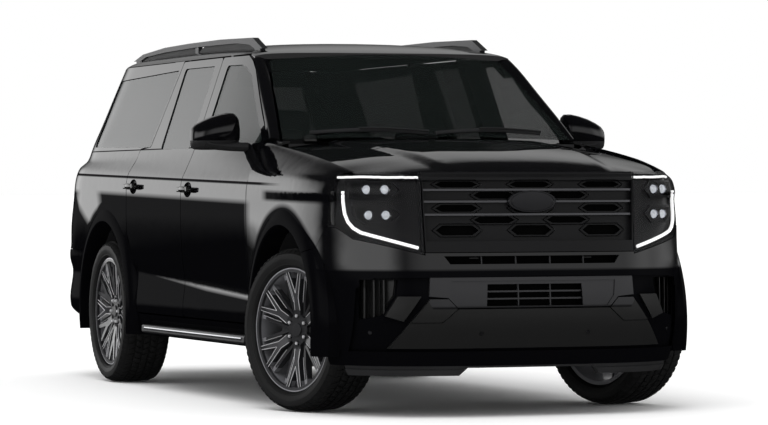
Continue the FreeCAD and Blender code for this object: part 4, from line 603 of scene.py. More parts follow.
def tube(mesh, path, radius, sides=10, flat=1.0):
    """A round bar along a path of points; flat squeezes its height."""
    path = [Vector(p) for p in path]
    rows = []
    for i, point in enumerate(path):
        ahead = (path[min(i + 1, len(path) - 1)] - path[max(i - 1, 0)]).normalized()
        side = ahead.cross(Vector((0.0, 0.0, 1.0)))
        side = side.normalized() if side.length > 0.01 else Vector((0.0, 1.0, 0.0))
        lift = side.cross(ahead).normalized()
        turns = [2.0 * math.pi * k / sides for k in range(sides)]
        rows.append([point + side * math.cos(a) * radius + lift * math.sin(a) * radius * flat for a in turns])
    skin_rows(mesh, rows, True, True)


def between(start, end, steps):
    """Evenly spaced values from start to end, both included."""
    return [start + (end - start) * i / steps for i in range(steps + 1)]


print("mesh helpers ready")


# %% [markdown]
# Small parts sit on the skin of the vehicle. Instead of copying its measures, a ray is sent
# from outside and tells where it first meets the solid and which way the skin faces there.
# So a lamp or a strip still sits right when the solid under it changes.

# %% Rays onto the skin
AHEAD, BEHIND, ABOVE = 3.2, -3.4, 2.2


def cast(node, origin, direction):
    """Where a ray first meets a solid of the frame, and the normal there."""
    hit, where, normal, _ = nodes[node].ray_cast(Vector(origin), Vector(direction))
    return (where, normal) if hit else (None, None)


def from_front(node, y, z):
    return cast(node, (AHEAD, y, z), (-1.0, 0.0, 0.0))


def from_rear(node, y, z):
    return cast(node, (BEHIND, y, z), (1.0, 0.0, 0.0))


def from_above(node, x, y):
    return cast(node, (x, y, ABOVE), (0.0, 0.0, -1.0))


def upwards(node, x, y, start):
    return cast(node, (x, y, start), (0.0, 0.0, 1.0))


print("the windshield is met at x =", round(from_front("windshield", 0.0, 1.45)[0].x, 3))


# %% [markdown]
# The tread of a tyre, the arms of a rim and its nuts all repeat about one axle. One pitch is
# modelled once, and a Geometry Nodes group copies it: as many points as the input Count
# says, all at the centre, each turned by its number times a full turn over the count. At the
# end the copies are made real, because the export drops instances.

# %% Geometry Nodes that repeat a mesh about the axle
def ring_group(material):
    """A node group that copies its own mesh Count times around the Y axis."""
    group = bpy.data.node_groups.new("repeat around the axle", "GeometryNodeTree")
    group.interface.new_socket("Geometry", in_out="INPUT", socket_type="NodeSocketGeometry")
    group.interface.new_socket("Count", in_out="INPUT", socket_type="NodeSocketInt")
    group.interface.new_socket("Geometry", in_out="OUTPUT", socket_type="NodeSocketGeometry")
    new = group.nodes.new
    source = new("NodeGroupInput")
    target = new("NodeGroupOutput")
    points = new("GeometryNodePoints")
    index = new("GeometryNodeInputIndex")
    full_turn = new("ShaderNodeMath")
    full_turn.operation = "DIVIDE"
    full_turn.inputs[0].default_value = 2.0 * math.pi
    angle = new("ShaderNodeMath")
    angle.operation = "MULTIPLY"
    rotation = new("ShaderNodeCombineXYZ")
    copies = new("GeometryNodeInstanceOnPoints")
    real = new("GeometryNodeRealizeInstances")
    finish = new("GeometryNodeSetMaterial")
    finish.inputs["Material"].default_value = material
    links = ((source, "Count", points, "Count"), (source, "Count", full_turn, 1),
             (index, "Index", angle, 0), (full_turn, "Value", angle, 1), (angle, "Value", rotation, "Y"),
             (points, 0, copies, "Points"), (source, "Geometry", copies, "Instance"),
             (rotation, "Vector", copies, "Rotation"),
             (copies, "Instances", real, "Geometry"), (real, "Geometry", finish, "Geometry"),
             (finish, "Geometry", target, "Geometry"))
    for from_node, from_socket, to_node, to_socket in links:
        group.links.new(from_node.outputs[from_socket], to_node.inputs[to_socket])
    return group


def repeated(mesh, count, material):
    """One pitch as a bmesh in, the whole ring as plain mesh data out."""
    data = bpy.data.meshes.new("pitch")
    mesh.to_mesh(data)
    mesh.free()
    carrier = bpy.data.objects.new("pitch_carrier", data)
    scene.collection.objects.link(carrier)
    modifier = carrier.modifiers.new("ring", "NODES")
    modifier.node_group = ring_group(material)
    count_socket = next(i for i in modifier.node_group.interface.items_tree if i.name == "Count")
    modifier[count_socket.identifier] = count
    bpy.context.view_layer.update()
    evaluated = carrier.evaluated_get(bpy.context.evaluated_depsgraph_get())
    ring = bpy.data.meshes.new_from_object(evaluated)
    carrier.modifiers.remove(modifier)
    bpy.data.objects.remove(carrier)
    return ring


print("ring group ready")


# %% [markdown]
# Each wheel is drawn once about the Y axis at the origin, with its outer side towards +Y.
# The joint in the record says where the hub is and how the axle leans, and one matrix made
# from it carries the drawing to each corner. The front wheels stand steered, so their axles
# aren't square to the vehicle.

# %% From the origin to each wheel
WHEELS = [(f"{end}_{tag}", side) for end in ("front", "rear") for tag, side in SIDES]


def axle(place, side):
    """The hub of one wheel and the axis that points away from the vehicle."""
    joint = joints["spin_" + place]
    axis = Vector(joint["axis"]).normalized()
    return Vector(joint["pos_m"]), -axis if axis.y * side < 0.0 else axis


def set_on_wheels(ring, label, material, sharp, replaced=None):
    """Put one finished mesh on all four wheels and say how many faces each has."""
    for place, side in WHEELS:
        hub, axis = axle(place, side)
        turn = Vector((0.0, 1.0, 0.0)).rotation_difference(axis).to_matrix().to_4x4()
        mesh = bmesh.new()
        mesh.from_mesh(ring)
        bmesh.ops.transform(mesh, matrix=Matrix.Translation(hub) @ turn, verts=mesh.verts)
        stands_for = [replaced + place] if replaced else ()
        made = piece(label + place, mesh, material, "wheel_" + place, stands_for, sharp)
    print(label + "*:", len(WHEELS), "with", len(made.data.polygons), "faces each")


print("wheels:", ", ".join(place for place, side in WHEELS))


# %% [markdown]
# A tyre is a lathe form with three kinds of detail: raised rings on the sidewall, short ribs
# below the shoulder, and tread blocks in five rows that lean by turns to either side. A block
# has no floor: its walls reach a little into the carcass, so no gap shows at their feet.

# %% Tyre carcass and tread
TYRE_R = 0.4155
TREAD_BASE_R = 0.4085
TREAD_PITCHES = 66
TREAD_HALF = 0.106
CROWN_FALL = 0.0035
BLOCK_SHARE = 0.97
SIDEWALL = [(0.3085, 0.1065), (0.3195, 0.1075), (0.3200, 0.1215), (0.3245, 0.1285), (0.3300, 0.1325),
            (0.3320, 0.1335), (0.3325, 0.1352), (0.3345, 0.1352), (0.3350, 0.1348), (0.3480, 0.1390),
            (0.3600, 0.1403), (0.3605, 0.1410), (0.3635, 0.1410), (0.3640, 0.1403), (0.3760, 0.1400),
            (0.3850, 0.1385), (0.3855, 0.1390), (0.3880, 0.1388), (0.3885, 0.1372), (0.3980, 0.1290),
            (0.4050, 0.1165), (TREAD_BASE_R, 0.1050), (TREAD_BASE_R, 0.0)]
TREAD_ROWS = [(-0.1060, -0.0700, 0.30), (-0.0620, -0.0245, -0.35), (-0.0165, 0.0165, 0.30),
              (0.0245, 0.0620, -0.35), (0.0700, 0.1060, 0.30)]
BLOCK_LAYERS = ((TREAD_BASE_R - 0.002, 0.0), (TYRE_R - 0.001, 0.0006), (TYRE_R, 0.0022))
BLOCK_OUTLINE = ((0.0, 0.0), (0.5, 0.06), (1.0, 0.0), (1.0, 0.95), (0.5, 1.0), (0.0, 0.95))
SHOULDER_RIB = ((0.4065, 0.1130), (0.4010, 0.1275), (0.3905, 0.1372))
RIB_OUTLINE = ((0.12, -0.0006), (0.16, 0.00132), (0.62, 0.00132), (0.66, -0.0006))


def tread_block(mesh, low, high, slant, pitch):
    """One block between two offsets along the axle, drawn in at its top edges."""
    rows = []
    for radius, inset in BLOCK_LAYERS:
        ring = []
        for share_y, share_a in BLOCK_OUTLINE:
            y = low + (high - low) * share_y + {0.0: inset, 0.5: 0.0, 1.0: -inset}[share_y]
            trim = inset if share_a < 0.4 else -inset
            angle = share_a * pitch * BLOCK_SHARE + trim / radius + slant * pitch * share_y
            ring.append(about_axle(radius - CROWN_FALL * (abs(y) / TREAD_HALF) ** 3, y, angle))
        rows.append(ring)
    mesh.faces.new(skin_rows(mesh, rows)[-1])


def tread_pitch():
    mesh = bmesh.new()
    pitch = 2.0 * math.pi / TREAD_PITCHES
    for low, high, slant in TREAD_ROWS:
        tread_block(mesh, low, high, slant, pitch)
    for _, side in SIDES:
        rows = [[about_axle(r + lift, side * (y + lift), pitch * share) for share, lift in RIB_OUTLINE]
                for r, y in SHOULDER_RIB]
        skin_rows(mesh, rows, False)
    return mesh


carcass = bmesh.new()
outline = SIDEWALL + [(r, -y) for r, y in reversed(SIDEWALL[:-1])]
lathe(carcass, outline, 128)
carcass.from_mesh(repeated(tread_pitch(), TREAD_PITCHES, tyre_rubber))
tyre_form = bpy.data.meshes.new("tyre form")
carcass.to_mesh(tyre_form)
carcass.free()
set_on_wheels(tyre_form, "tyre_form_", tyre_rubber, 40.0, "tyre_")


# %% [markdown]
# The rims keep their solids. Only their finish changes: dark paint on the arms, and grey
# metal on the lip and deep in the barrel. The masks are the distance along the axle and from
# it, so each wheel needs its own copy of the finish, built from the axis of its joint.

# %% Two-tone rims
RIM_BLACK, RIM_GREY = (0.02, 0.02, 0.022), (0.5, 0.5, 0.53)
FACE_FROM, FACE_LEVEL, FACE_SLOPE = 0.092, 0.0835, 0.16
LIP_RADIUS, LIP_OFFSET = 0.3085, 0.100
BARREL_RADIUS, BARREL_OFFSET = 0.262, 0.098
ARM_BRIGHTNESS, BARREL_BRIGHTNESS = 0.06, 0.45


def rim_finish(place, side):
    f = Finish("two-tone rim " + place.replace("_", " "))
    hub, axis = axle(place, side)
    from_hub = f.vector("SUBTRACT", f.add("ShaderNodeTexCoord", output="Object"), hub)
    along = f.vector("DOT_PRODUCT", from_hub, axis, "Value")
    length = f.vector("LENGTH", from_hub, output="Value")
    radius = (length * length - along * along).math("SQRT")
    face = (radius - FACE_FROM) * FACE_SLOPE + FACE_LEVEL
    arms = step_mask(along - face, -0.0035, 0.001) * step_mask(radius, 0.100, 0.002) * ARM_BRIGHTNESS
    lip = step_mask(radius, LIP_RADIUS, 0.001) * step_mask(along, LIP_OFFSET, 0.002)
    barrel = step_mask(radius, BARREL_RADIUS, 0.004) * (1.0 - step_mask(along, BARREL_OFFSET, 0.002))
    grey = ((arms + lip).clamp() + barrel * BARREL_BRIGHTNESS).clamp()
    f.set(Base_Color=f.mix(grey, RIM_BLACK, RIM_GREY), Metallic=grey * 0.35 + 0.3)
    f.set(Roughness=f.noise(60.0, 2.0) * 0.08 + 0.28, Coat_Weight=0.6, Coat_Roughness=0.03)
    return f.material


for place, side in WHEELS:
    dress(nodes["rim_" + place], rim_finish(place, side))
print("rims finished:", len(WHEELS))


# %% [markdown]
# On the real wheel the arms fork, and a lathe has cut their edges bright. In the picture
# these thin bright lines are what shows, so they are drawn as fine bars laid on the edges:
# one set on the forked faces and one lower down on the arms between. One sixth is drawn with
# its mirror image, and the ring group repeats it.

# %% Bright machined edges of the arms
ARMS = 6
FACE_EDGES = [[(0.098, 0.0215), (0.160, 0.0190), (0.300, 0.0630)], [(0.186, 0.0), (0.300, 0.0450)],
              [(0.300, 0.0630), (0.300, 0.0450)]]
LOW_EDGES = [[(0.120, 0.0560), (0.300, 0.1030)], [(0.140, 0.0410), (0.272, 0.0800)]]
LOW_DROP = 0.012
FACE_THICK, LOW_THICK = 0.0019, 0.0014
FACE_PROFILE = ((0.092, 0.084), (0.170, 0.096), (0.300, 0.112))


def face_level_at(radius):
    """How far out the face of the arms lies at a radius: two straight stretches."""
    hub, knee, lip = FACE_PROFILE
    (r0, y0), (r1, y1) = (hub, knee) if radius < knee[0] else (knee, lip)
    return y0 + (radius - r0) * (y1 - y0) / (r1 - r0)


def edge_pitch():
    mesh = bmesh.new()
    for lines, drop, thick in ((FACE_EDGES, 0.0, FACE_THICK), (LOW_EDGES, LOW_DROP, LOW_THICK)):
        for line in lines:
            for lean in (-1.0, 1.0):
                path = []
                for (r0, a0), (r1, a1) in zip(line, line[1:]):
                    path += [(lean * a, face_level_at(r) - drop, r)
                             for r, a in zip(between(r0, r1, 4), between(a0, a1, 4))]
                tube(mesh, path, thick, 6)
    return mesh


set_on_wheels(repeated(edge_pitch(), ARMS, machined), "arm_edges_", machined, 50.0)


# %% [markdown]
# Six nuts hold each wheel. A nut is a lathe form with only six steps, which is a hexagon, and
# a rounded nose. It is drawn on its circle, in line with an arm, and repeated like the tread.

# %% Lug nuts
NUTS = 6
NUT_CIRCLE = 0.06985
NUT_ANGLE = math.radians(30.0)
NUT_PROFILE = [(0.0001, 0.0985), (0.0060, 0.0980), (0.0088, 0.0955), (0.0092, 0.0900), (0.0092, 0.0800),
               (0.0001, 0.0800)]


def nut():
    mesh = bmesh.new()
    lathe(mesh, NUT_PROFILE, 6, False)
    bmesh.ops.translate(mesh, vec=about_axle(NUT_CIRCLE, 0.0, NUT_ANGLE), verts=mesh.verts)
    return mesh


set_on_wheels(repeated(nut(), NUTS, machined), "lug_nuts_", machined, 30.0)


# %% [markdown]
# Door mirrors are drawn as ribs from the inner end to the tip: each rib is a flat back with
# a domed front, and skinning the ribs gives the smooth cap. A flattened tube is the arm that
# reaches back to the door. Cap and arm are one piece with two looks, lacquer above and satin
# plastic below, so two whole shaders are mixed by a mask of height.

# %% Finish of the mirror cap
CAP_SPLIT = 1.392


def two_part_cap(name):
    f = Finish(name)
    worn = f.noise(1200.0, 1.0) * 0.04 + 0.42
    f.set(Base_Color=LACQUER_BLACK, Roughness=worn, Specular_IOR_Level=0.0, Coat_Weight=1.0)
    satin = f.add("ShaderNodeBsdfPrincipled", Base_Color=(0.014, 0.014, 0.015, 1.0), Roughness=worn,
                  Specular_IOR_Level=0.5)
    f.cover(below_mask(object_axis(f, 2), CAP_SPLIT), satin)
    return f.material


cap_finish = two_part_cap("mirror cap")
print("mirror cap finish made")


# %% [markdown]
# A rib is half an oval. Powers below 1 on the sine and cosine make the oval fuller, nearer to
# the soft rectangle of a real mirror head. The glass is made from the same ribs, a little
# smaller and almost flat, and is set on the flat back of the cap.

# %% Door mirrors
MIRROR_BACK = 0.853
MIRROR_RIBS = [(0.930, 1.432, 0.050, 0.922), (0.938, 1.440, 0.080, 0.940), (0.956, 1.444, 0.094, 0.954),
               (0.985, 1.443, 0.097, 0.962), (1.030, 1.437, 0.094, 0.963), (1.080, 1.429, 0.087, 0.957),
               (1.125, 1.419, 0.077, 0.946), (1.160, 1.410, 0.066, 0.930), (1.178, 1.404, 0.054, 0.910),
               (1.186, 1.400, 0.034, 0.884)]
MIRROR_ARM = [(0.940, 0.890, 1.356), (0.930, 0.925, 1.357), (0.914, 0.990, 1.360), (0.908, 1.060, 1.366),
              (0.905, 1.120, 1.376)]
ARM_RADIUS, ARM_FLAT = 0.040, 0.62
FRONT_FULLNESS, EDGE_FULLNESS = 0.62, 0.86
GLASS_SHARE = 0.86
ARC_STEPS = 18


def mirror_rib(y, middle, half, front, side, back=MIRROR_BACK):
    points = []
    for i in range(ARC_STEPS + 1):
        t = math.pi * (i / ARC_STEPS - 0.5)
        bulge = max(0.0, math.cos(t)) ** FRONT_FULLNESS
        lift = math.copysign(abs(math.sin(t)) ** EDGE_FULLNESS, math.sin(t))
        points.append(Vector((back + (front - back) * bulge, side * y, middle + half * lift)))
    return points


for tag, side in SIDES:
    mesh = bmesh.new()
    skin_rows(mesh, [mirror_rib(*rib, side) for rib in MIRROR_RIBS], True, True)
    tube(mesh, [(x, side * y, z) for x, y, z in MIRROR_ARM], ARM_RADIUS, 14, ARM_FLAT)
    piece("mirror_cap_" + tag, mesh, cap_finish, "door_front_" + tag, ["mirror_" + tag], 38.0)
    mesh = bmesh.new()
    skin_rows(mesh, [mirror_rib(y, z, half * GLASS_SHARE, MIRROR_BACK + 0.001, side, MIRROR_BACK - 0.0015)
                     for y, z, half, _ in MIRROR_RIBS[2:8]], True, True)
    piece("mirror_glass_" + tag, mesh, mirror_glass, "door_front_" + tag)
print("mirrors made:", len(SIDES))


# %% [markdown]
# Lamps need depth: behind the clear cover each lamp has four round projector lenses in bright bezels. They
# are lathe forms set on the dark housing where a ray meets it, turned a little towards the way the housing
# faces. The lenses glow though the lamps are not lit: a painted glow that stands in for the light of the room
# seen in the lens.

# %% Discs set on the skin
LENS_PROFILE = [(0.0001, 0.0120), (0.0100, 0.0110), (0.0170, 0.0080), (0.0205, 0.0030), (0.0210, 0.0)]
BEZEL_PROFILE = [(0.0215, 0.0010), (0.0215, 0.0100), (0.0240, 0.0125), (0.0265, 0.0105), (0.0275, 0.0010)]
SENSOR_PROFILE = [(0.0001, 0.0022), (0.0070, 0.0022), (0.0074, 0.0010), (0.0085, 0.0010), (0.0090, 0.0020),
                  (0.0105, 0.0020), (0.0112, -0.0010)]
PROJECTORS = ((0.718, 1.127), (0.792, 1.127), (0.716, 1.001), (0.786, 1.001))
SENSORS = (("bumper_trim", 0.284, 0.417), ("front_bumper", 0.796, 0.423))
LAMP_LEAN = 0.3


def disc_on(node, y, z, profile, material, name, slot, lean=1.0, steps=28, stretch=1.0):
    """A lathe form on the skin, facing forwards, or leaning as the skin does where lean is 1."""
    where, normal = from_front(node, y, z)
    mesh = bmesh.new()
    lathe(mesh, profile, steps, False)
    face = (Vector((1.0, 0.0, 0.0)) * (1.0 - lean) + normal * lean).normalized()
    turn = Vector((0.0, 1.0, 0.0)).rotation_difference(face).to_matrix().to_4x4()
    place = Matrix.Translation(where) @ turn @ Matrix.Diagonal((stretch, 1.0, 1.0, 1.0))
    bmesh.ops.transform(mesh, matrix=place, verts=mesh.verts)
    return piece(name, mesh, material, "body")


def projector_glass_painted_glow(name):
    f = Finish(name)
    ring = f.noise(60.0, 1.0)
    f.set(Base_Color=f.mix(ring, (0.25, 0.27, 0.3), (0.6, 0.63, 0.68)), Metallic=0.6, Roughness=0.12)
    # The emission is a painted glow, a painted reflection of the room's light; the lamp is not lit.
    f.set(Emission_Color=f.mix(ring, (0.3, 0.31, 0.33), (0.8, 0.83, 0.88)), Emission_Strength=1.0)
    return f.material


projector = projector_glass_painted_glow("projector lens")
lenses = 0
for tag, side in SIDES:
    for y, z in PROJECTORS:
        spot = ("lamp_housings", side * y, z)
        disc_on(*spot, LENS_PROFILE, projector, f"projector_{lenses}", "lamp_lens", LAMP_LEAN)
        disc_on(*spot, BEZEL_PROFILE, bright_trim, f"projector_ring_{lenses}", "lamp_lens", LAMP_LEAN)
        lenses += 1
    for number, (node, y, z) in enumerate(SENSORS):
        disc_on(node, side * y, z, SENSOR_PROFILE, bar_trim, f"sensor_{number}_{tag[0]}", "black_plastic")
print("projectors:", lenses, "and sensors:", len(SENSORS) * len(SIDES))


# %% [markdown]
# Through the windshield one sees the underside of the roof, which wears the same gloss paint
# as its top and would mirror the pale studio. A real car has a woven headliner there. Rays
# sent upwards find the roof, and a sheet of points hangs a little below it, never above one
# level.

# %% Headliner
LINER_FROM, LINER_LONG = -2.20, 2.74
LINER_HALF = 0.68
LINER_TOP, LINER_DEFAULT, LINER_GAP = 1.884, 1.868, 0.008
LINER_STEPS = 14


def liner_point(x, y):
    roof_skin, _ = upwards("roof", x, y, 1.5)
    level = roof_skin.z if roof_skin is not None else LINER_DEFAULT
    return Vector((x, y, min(level, LINER_TOP) - LINER_GAP))


mesh = bmesh.new()
skin_rows(mesh, [[liner_point(x, y) for y in between(-LINER_HALF, LINER_HALF, LINER_STEPS)]
                 for x in between(LINER_FROM, LINER_FROM + LINER_LONG, LINER_STEPS)], False)
piece("headliner", mesh, headliner, "body")
print("headliner hung with", (LINER_STEPS + 1) ** 2, "points")


# %% [markdown]
# The roof rails of the real vehicle are closed underneath by a dark foot, so no light passes
# between rail and roof. One ray from below finds the rail, another from above finds the roof,
# and a narrow wall joins them all along.

# %% Rail feet
RAIL_MIDDLE = 0.643
RAIL_FROM, RAIL_LONG = -1.99, 2.40
RAIL_STEPS = 21
FOOT_MIDDLE, FOOT_HALF, FOOT_TOP_HALF = 0.644, 0.008, 0.006
FOOT_SUNK = 0.002

for tag, side in SIDES:
    rows = []
    for x in between(RAIL_FROM, RAIL_FROM + RAIL_LONG, RAIL_STEPS):
        rail, _ = upwards("roof_rails", x, side * RAIL_MIDDLE, 1.80)
        skin, _ = from_above("roof", x, side * RAIL_MIDDLE)
        if rail is not None and skin is not None:
            foot, top = skin.z - FOOT_SUNK, rail.z + FOOT_SUNK
            corners = ((-FOOT_HALF, foot), (FOOT_HALF, foot), (FOOT_TOP_HALF, top), (-FOOT_TOP_HALF, top))
            rows.append([Vector((x, side * (FOOT_MIDDLE + y), z)) for y, z in corners])
    mesh = bmesh.new()
    skin_rows(mesh, rows, True, True)
    piece("rail_foot_" + tag, mesh, black_plastic, "body")
    print("rail foot", tag, "with", len(rows), "rows")


# %% [markdown]
# The liftgate turns about a line just above the roof edge, so its hinges show when it is
# open. Each one is a low cover in two halves, one that rides the gate and one on the roof.
# Both are half ovals laid on the skin, highest at the seam and fading out along their length.

# %% Hinge covers of the liftgate
HINGE_Y = 0.45
HINGE_HALF_WIDTH = 0.042
HINGE_TOP = 1.938
HINGE_SUNK, HINGE_LEAST = 0.004, 0.002
HINGE_FULLNESS = 0.7
HINGE_STEPS, HINGE_ARC = 9, 8
HINGE_HALVES = (("gate", "liftgate", "liftgate", -2.331, -2.440), ("roof", "roof", "body", -2.327, -2.210))


def hinge_row(node, x, y, share):
    """Half an oval on the skin; share runs from 0 at the seam to 1 at the thin end."""
    skin, _ = from_above(node, x, y)
    if skin is None:
        return None
    swell = max(0.0, HINGE_TOP - skin.z) * (1.0 - share * share * (3.0 - 2.0 * share)) + HINGE_LEAST
    row = []
    for k in range(HINGE_ARC + 1):
        turn = math.pi * k / HINGE_ARC
        z = skin.z - HINGE_SUNK + swell * math.sin(turn) ** HINGE_FULLNESS
        row.append(Vector((x, y + HINGE_HALF_WIDTH * math.cos(turn), z)))
    return row


for tag, side in SIDES:
    for half, node, body, near, far in HINGE_HALVES:
        rows = [hinge_row(node, x, side * HINGE_Y, i / HINGE_STEPS)
                for i, x in enumerate(between(near, far, HINGE_STEPS))]
        mesh = bmesh.new()
        skin_rows(mesh, [row for row in rows if row], True, True)
        piece(f"hinge_{half}_{tag}", mesh, gloss_trim, body, (), 50.0)
print("hinge covers made:", len(HINGE_HALVES) * len(SIDES))


# %% [markdown]
# Door grips are slim bars with round ends that bow away from the door. A sine spreads the
# rings so that they crowd at the ends, where the shape turns fastest.

# %% Door grips
GRIPS = {"door_front": (0.185, 1.133), "door_rear": (-0.895, 1.152)}
GRIP_HALF_LONG, GRIP_HALF_HIGH, GRIP_HALF_THICK = 0.112, 0.0175, 0.0105
GRIP_OUT, GRIP_BOW, GRIP_SLOPE = 1.030, 0.012, 0.0187
GRIP_STEPS, GRIP_SIDES = 16, 12


def grip_ring(middle, level, side, share):
    swell = max(0.04, 1.0 - share ** 4) ** 0.5
    along = GRIP_HALF_LONG * share
    ring = []
    for k in range(GRIP_SIDES):
        turn = 2.0 * math.pi * k / GRIP_SIDES
        y = GRIP_OUT + GRIP_HALF_THICK * swell * math.cos(turn) - GRIP_BOW * share * share
        z = level - along * GRIP_SLOPE + GRIP_HALF_HIGH * swell * math.sin(turn)
        ring.append(Vector((middle + along, side * y, z)))
    return ring


for door, (middle, level) in GRIPS.items():
    for tag, side in SIDES:
        shares = [math.sin(math.pi * (i / GRIP_STEPS - 0.5)) for i in range(GRIP_STEPS + 1)]
        mesh = bmesh.new()
        skin_rows(mesh, [grip_ring(middle, level, side, share) for share in shares], True, True)
        piece(f"grip_{door}_{tag}", mesh, gloss_trim, f"{door}_{tag}", (), 60.0)
print("door grips made:", len(GRIPS) * len(SIDES))


# %% [markdown]
# The daytime strips frame each lamp in a slim bright line: one across the top, and one down
# the outer edge and back along the foot. Their lines are given as seen from the front, and
# rays lay them onto the curved lamp cover, a little behind its surface.

# %% Slim daytime strips
TOP_LINE = [(0.576, 1.187), (0.650, 1.189), (0.740, 1.191), (0.830, 1.195), (0.908, 1.198)]
SIDE_LINE = [(0.899, 1.120), (0.897, 1.060), (0.894, 1.008), (0.884, 0.968), (0.866, 0.938), (0.838, 0.916),
             (0.790, 0.900), (0.700, 0.873), (0.564, 0.834)]
TOP_THICK, SIDE_THICK = 0.0062, 0.0086
STRIP_DEPTH = 0.012


def traced(line, steps):
    """The points of a line with steps between each two of them, its last point left out."""
    return [(y0 + (y1 - y0) * i / steps, z0 + (z1 - z0) * i / steps)
            for (y0, z0), (y1, z1) in zip(line, line[1:]) for i in range(steps)]


def laid_on(node, points, lift):
    """Front-view points laid onto a solid and raised off it, or sunk where lift is negative."""
    hits = [from_front(node, y, z) for y, z in points]
    return [where + normal * lift for where, normal in hits if where is not None]


for tag, side in SIDES:
    mesh = bmesh.new()
    for line, thick in ((TOP_LINE, TOP_THICK), (SIDE_LINE, SIDE_THICK)):
        points = [(side * y, z) for y, z in traced(line, 6)]
        tube(mesh, laid_on("headlamps", points, -STRIP_DEPTH), thick, 10)
    piece("day_strip_" + tag, mesh, day_lamp, "body", ["day_lamps"], 50.0)
print("daytime strips drawn:", len(SIDES))


# %% [markdown]
# The grille is a plate with rows of long hexagonal openings, every second row shifted by
# half a pitch. On the real one a raised rim runs round every opening and catches the light.
# The openings are already in the solid, so only the rims are drawn, as flat tubes on it.

# %% Raised rims round the grille openings
HEX_ROWS = ((1.151, 0.014, 0.0), (1.098, 0.017, 0.5), (1.034, 0.017, 0.0), (0.976, 0.016, 0.5),
            (0.925, 0.024, 0.0))
HEX_PITCH, HEX_LIMIT = 0.385, 0.50
RIM_WIDE, RIM_SLIM, RIM_ROOM = 0.128, 0.088, 0.008
RIM_THICK, RIM_FLAT, RIM_LIFT = 0.0040, 0.5, 0.001
GRILLE_HALF = 0.55


def hexagon(y, z, tall):
    return [(y - RIM_WIDE, z), (y - RIM_SLIM, z - tall), (y + RIM_SLIM, z - tall), (y + RIM_WIDE, z),
            (y + RIM_SLIM, z + tall), (y - RIM_SLIM, z + tall), (y - RIM_WIDE, z)]


mesh = bmesh.new()
openings = [(HEX_PITCH * (column + shift), z, half) for z, half, shift in HEX_ROWS for column in range(-3, 3)]
for y, z, half in openings:
    if abs(y) <= HEX_LIMIT:
        path = laid_on("grille", traced(hexagon(y, z, half + RIM_ROOM), 4), RIM_LIFT)
        path = [spot for spot in path if abs(spot.y) < GRILLE_HALF]
        tube(mesh, path + path[:1], RIM_THICK, 8, RIM_FLAT)
piece("grille_rims", mesh, bar_trim, "body", (), 50.0)
print("grille rims drawn:", sum(abs(y) <= HEX_LIMIT for y, _, _ in openings))


# %% [markdown]
# The middle of the grille carries an oval badge, left blank here. It is the same disc as the
# sensors, only larger, stretched to an oval and set on the bars.

# %% Blank badge
BADGE_PROFILE = [(0.0001, 0.0150), (0.0400, 0.0148), (0.0470, 0.0140), (0.0480, 0.0125), (0.0492, 0.0150),
                 (0.0530, 0.0148), (0.0545, 0.0110), (0.0545, -0.0080)]
BADGE_LEVEL, BADGE_STRETCH = 1.067, 2.35
disc_on("grille_bars", 0.0, BADGE_LEVEL, BADGE_PROFILE, satin_rail, "blank_badge", "satin_metal", 0.0, 64,
        BADGE_STRETCH)
print("blank badge set at", BADGE_LEVEL, "m")


# %% [markdown]
# A wiper is a thin blade that follows the windshield and a thicker arm that stands over its
# outer part. Both are tubes laid on the glass along a shallow arc near its foot.

# %% Wipers
WIPERS = ((-0.66, -0.02), (0.02, 0.64))
WIPER_LEVEL, WIPER_ARC = 1.418, 0.016
WIPER_STEPS, ARM_START = 12, 5
BLADE_LIFT, ARM_LIFT = 0.012, 0.024
BLADE = {"radius": 0.0065, "sides": 8, "flat": 1.6}
ARM = {"radius": 0.0075, "sides": 8, "flat": 0.8}

for number, (start, end) in enumerate(WIPERS):
    spots = [(y, WIPER_LEVEL + WIPER_ARC * math.sin(math.pi * i / WIPER_STEPS))
             for i, y in enumerate(between(start, end, WIPER_STEPS))]
    mesh = bmesh.new()
    tube(mesh, laid_on("windshield", spots, BLADE_LIFT), **BLADE)
    tube(mesh, laid_on("windshield", spots[ARM_START:], ARM_LIFT), **ARM)
    piece(f"wiper_{number}", mesh, black_plastic, "body")
print("wipers made:", len(WIPERS))


# %% [markdown]
# The running boards have a bright edge that gives the dark sill its one light line. Its
# place comes from the box of the boards, so it follows them.

# %% Bright edges of the running boards
EDGE_INSET, EDGE_SUNK, EDGE_RISE = 0.05, 0.004, 0.004
EDGE_THICK, EDGE_FLAT = 0.0075, 1.3
board_low, board_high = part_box("running_boards")
edge_z = (board_low[2] + board_high[2]) / 2.0 + EDGE_RISE

for tag, side in SIDES:
    mesh = bmesh.new()
    edge_y = side * (board_high[1] - EDGE_SUNK)
    stations = between(board_low[0] + EDGE_INSET, board_high[0] - EDGE_INSET, 8)
    tube(mesh, [(x, edge_y, edge_z) for x in stations], EDGE_THICK, 10, EDGE_FLAT)
    piece("board_edge_" + tag, mesh, bright_trim, "body")
print("board edges at", round(edge_z, 3), "m above the ground")


# %% [markdown]
# The back needs a few flat bars that follow the skin: three lit strips in each tail lamp, a
# blank plate and the grip of the liftgate. One function makes them all. It walks across the
# vehicle, finds the skin with rays from behind and builds a bar with sloping edges on it.

# %% Rear details
BAR_STEPS = 10
STRIP_LEVELS = (0.25, 0.5, 0.75)
STRIP_FROM, STRIP_TO, STRIP_HALF_HIGH, STRIP_LIFT = 0.80, 0.94, 0.007, 0.004
PLATE_HALF_WIDE, PLATE_LEVEL, PLATE_HALF_HIGH, PLATE_LIFT = 0.155, 0.930, 0.078, 0.006
HANDLE_HALF_WIDE, HANDLE_LEVEL, HANDLE_HALF_HIGH, HANDLE_LIFT = 0.340, 1.055, 0.016, 0.014


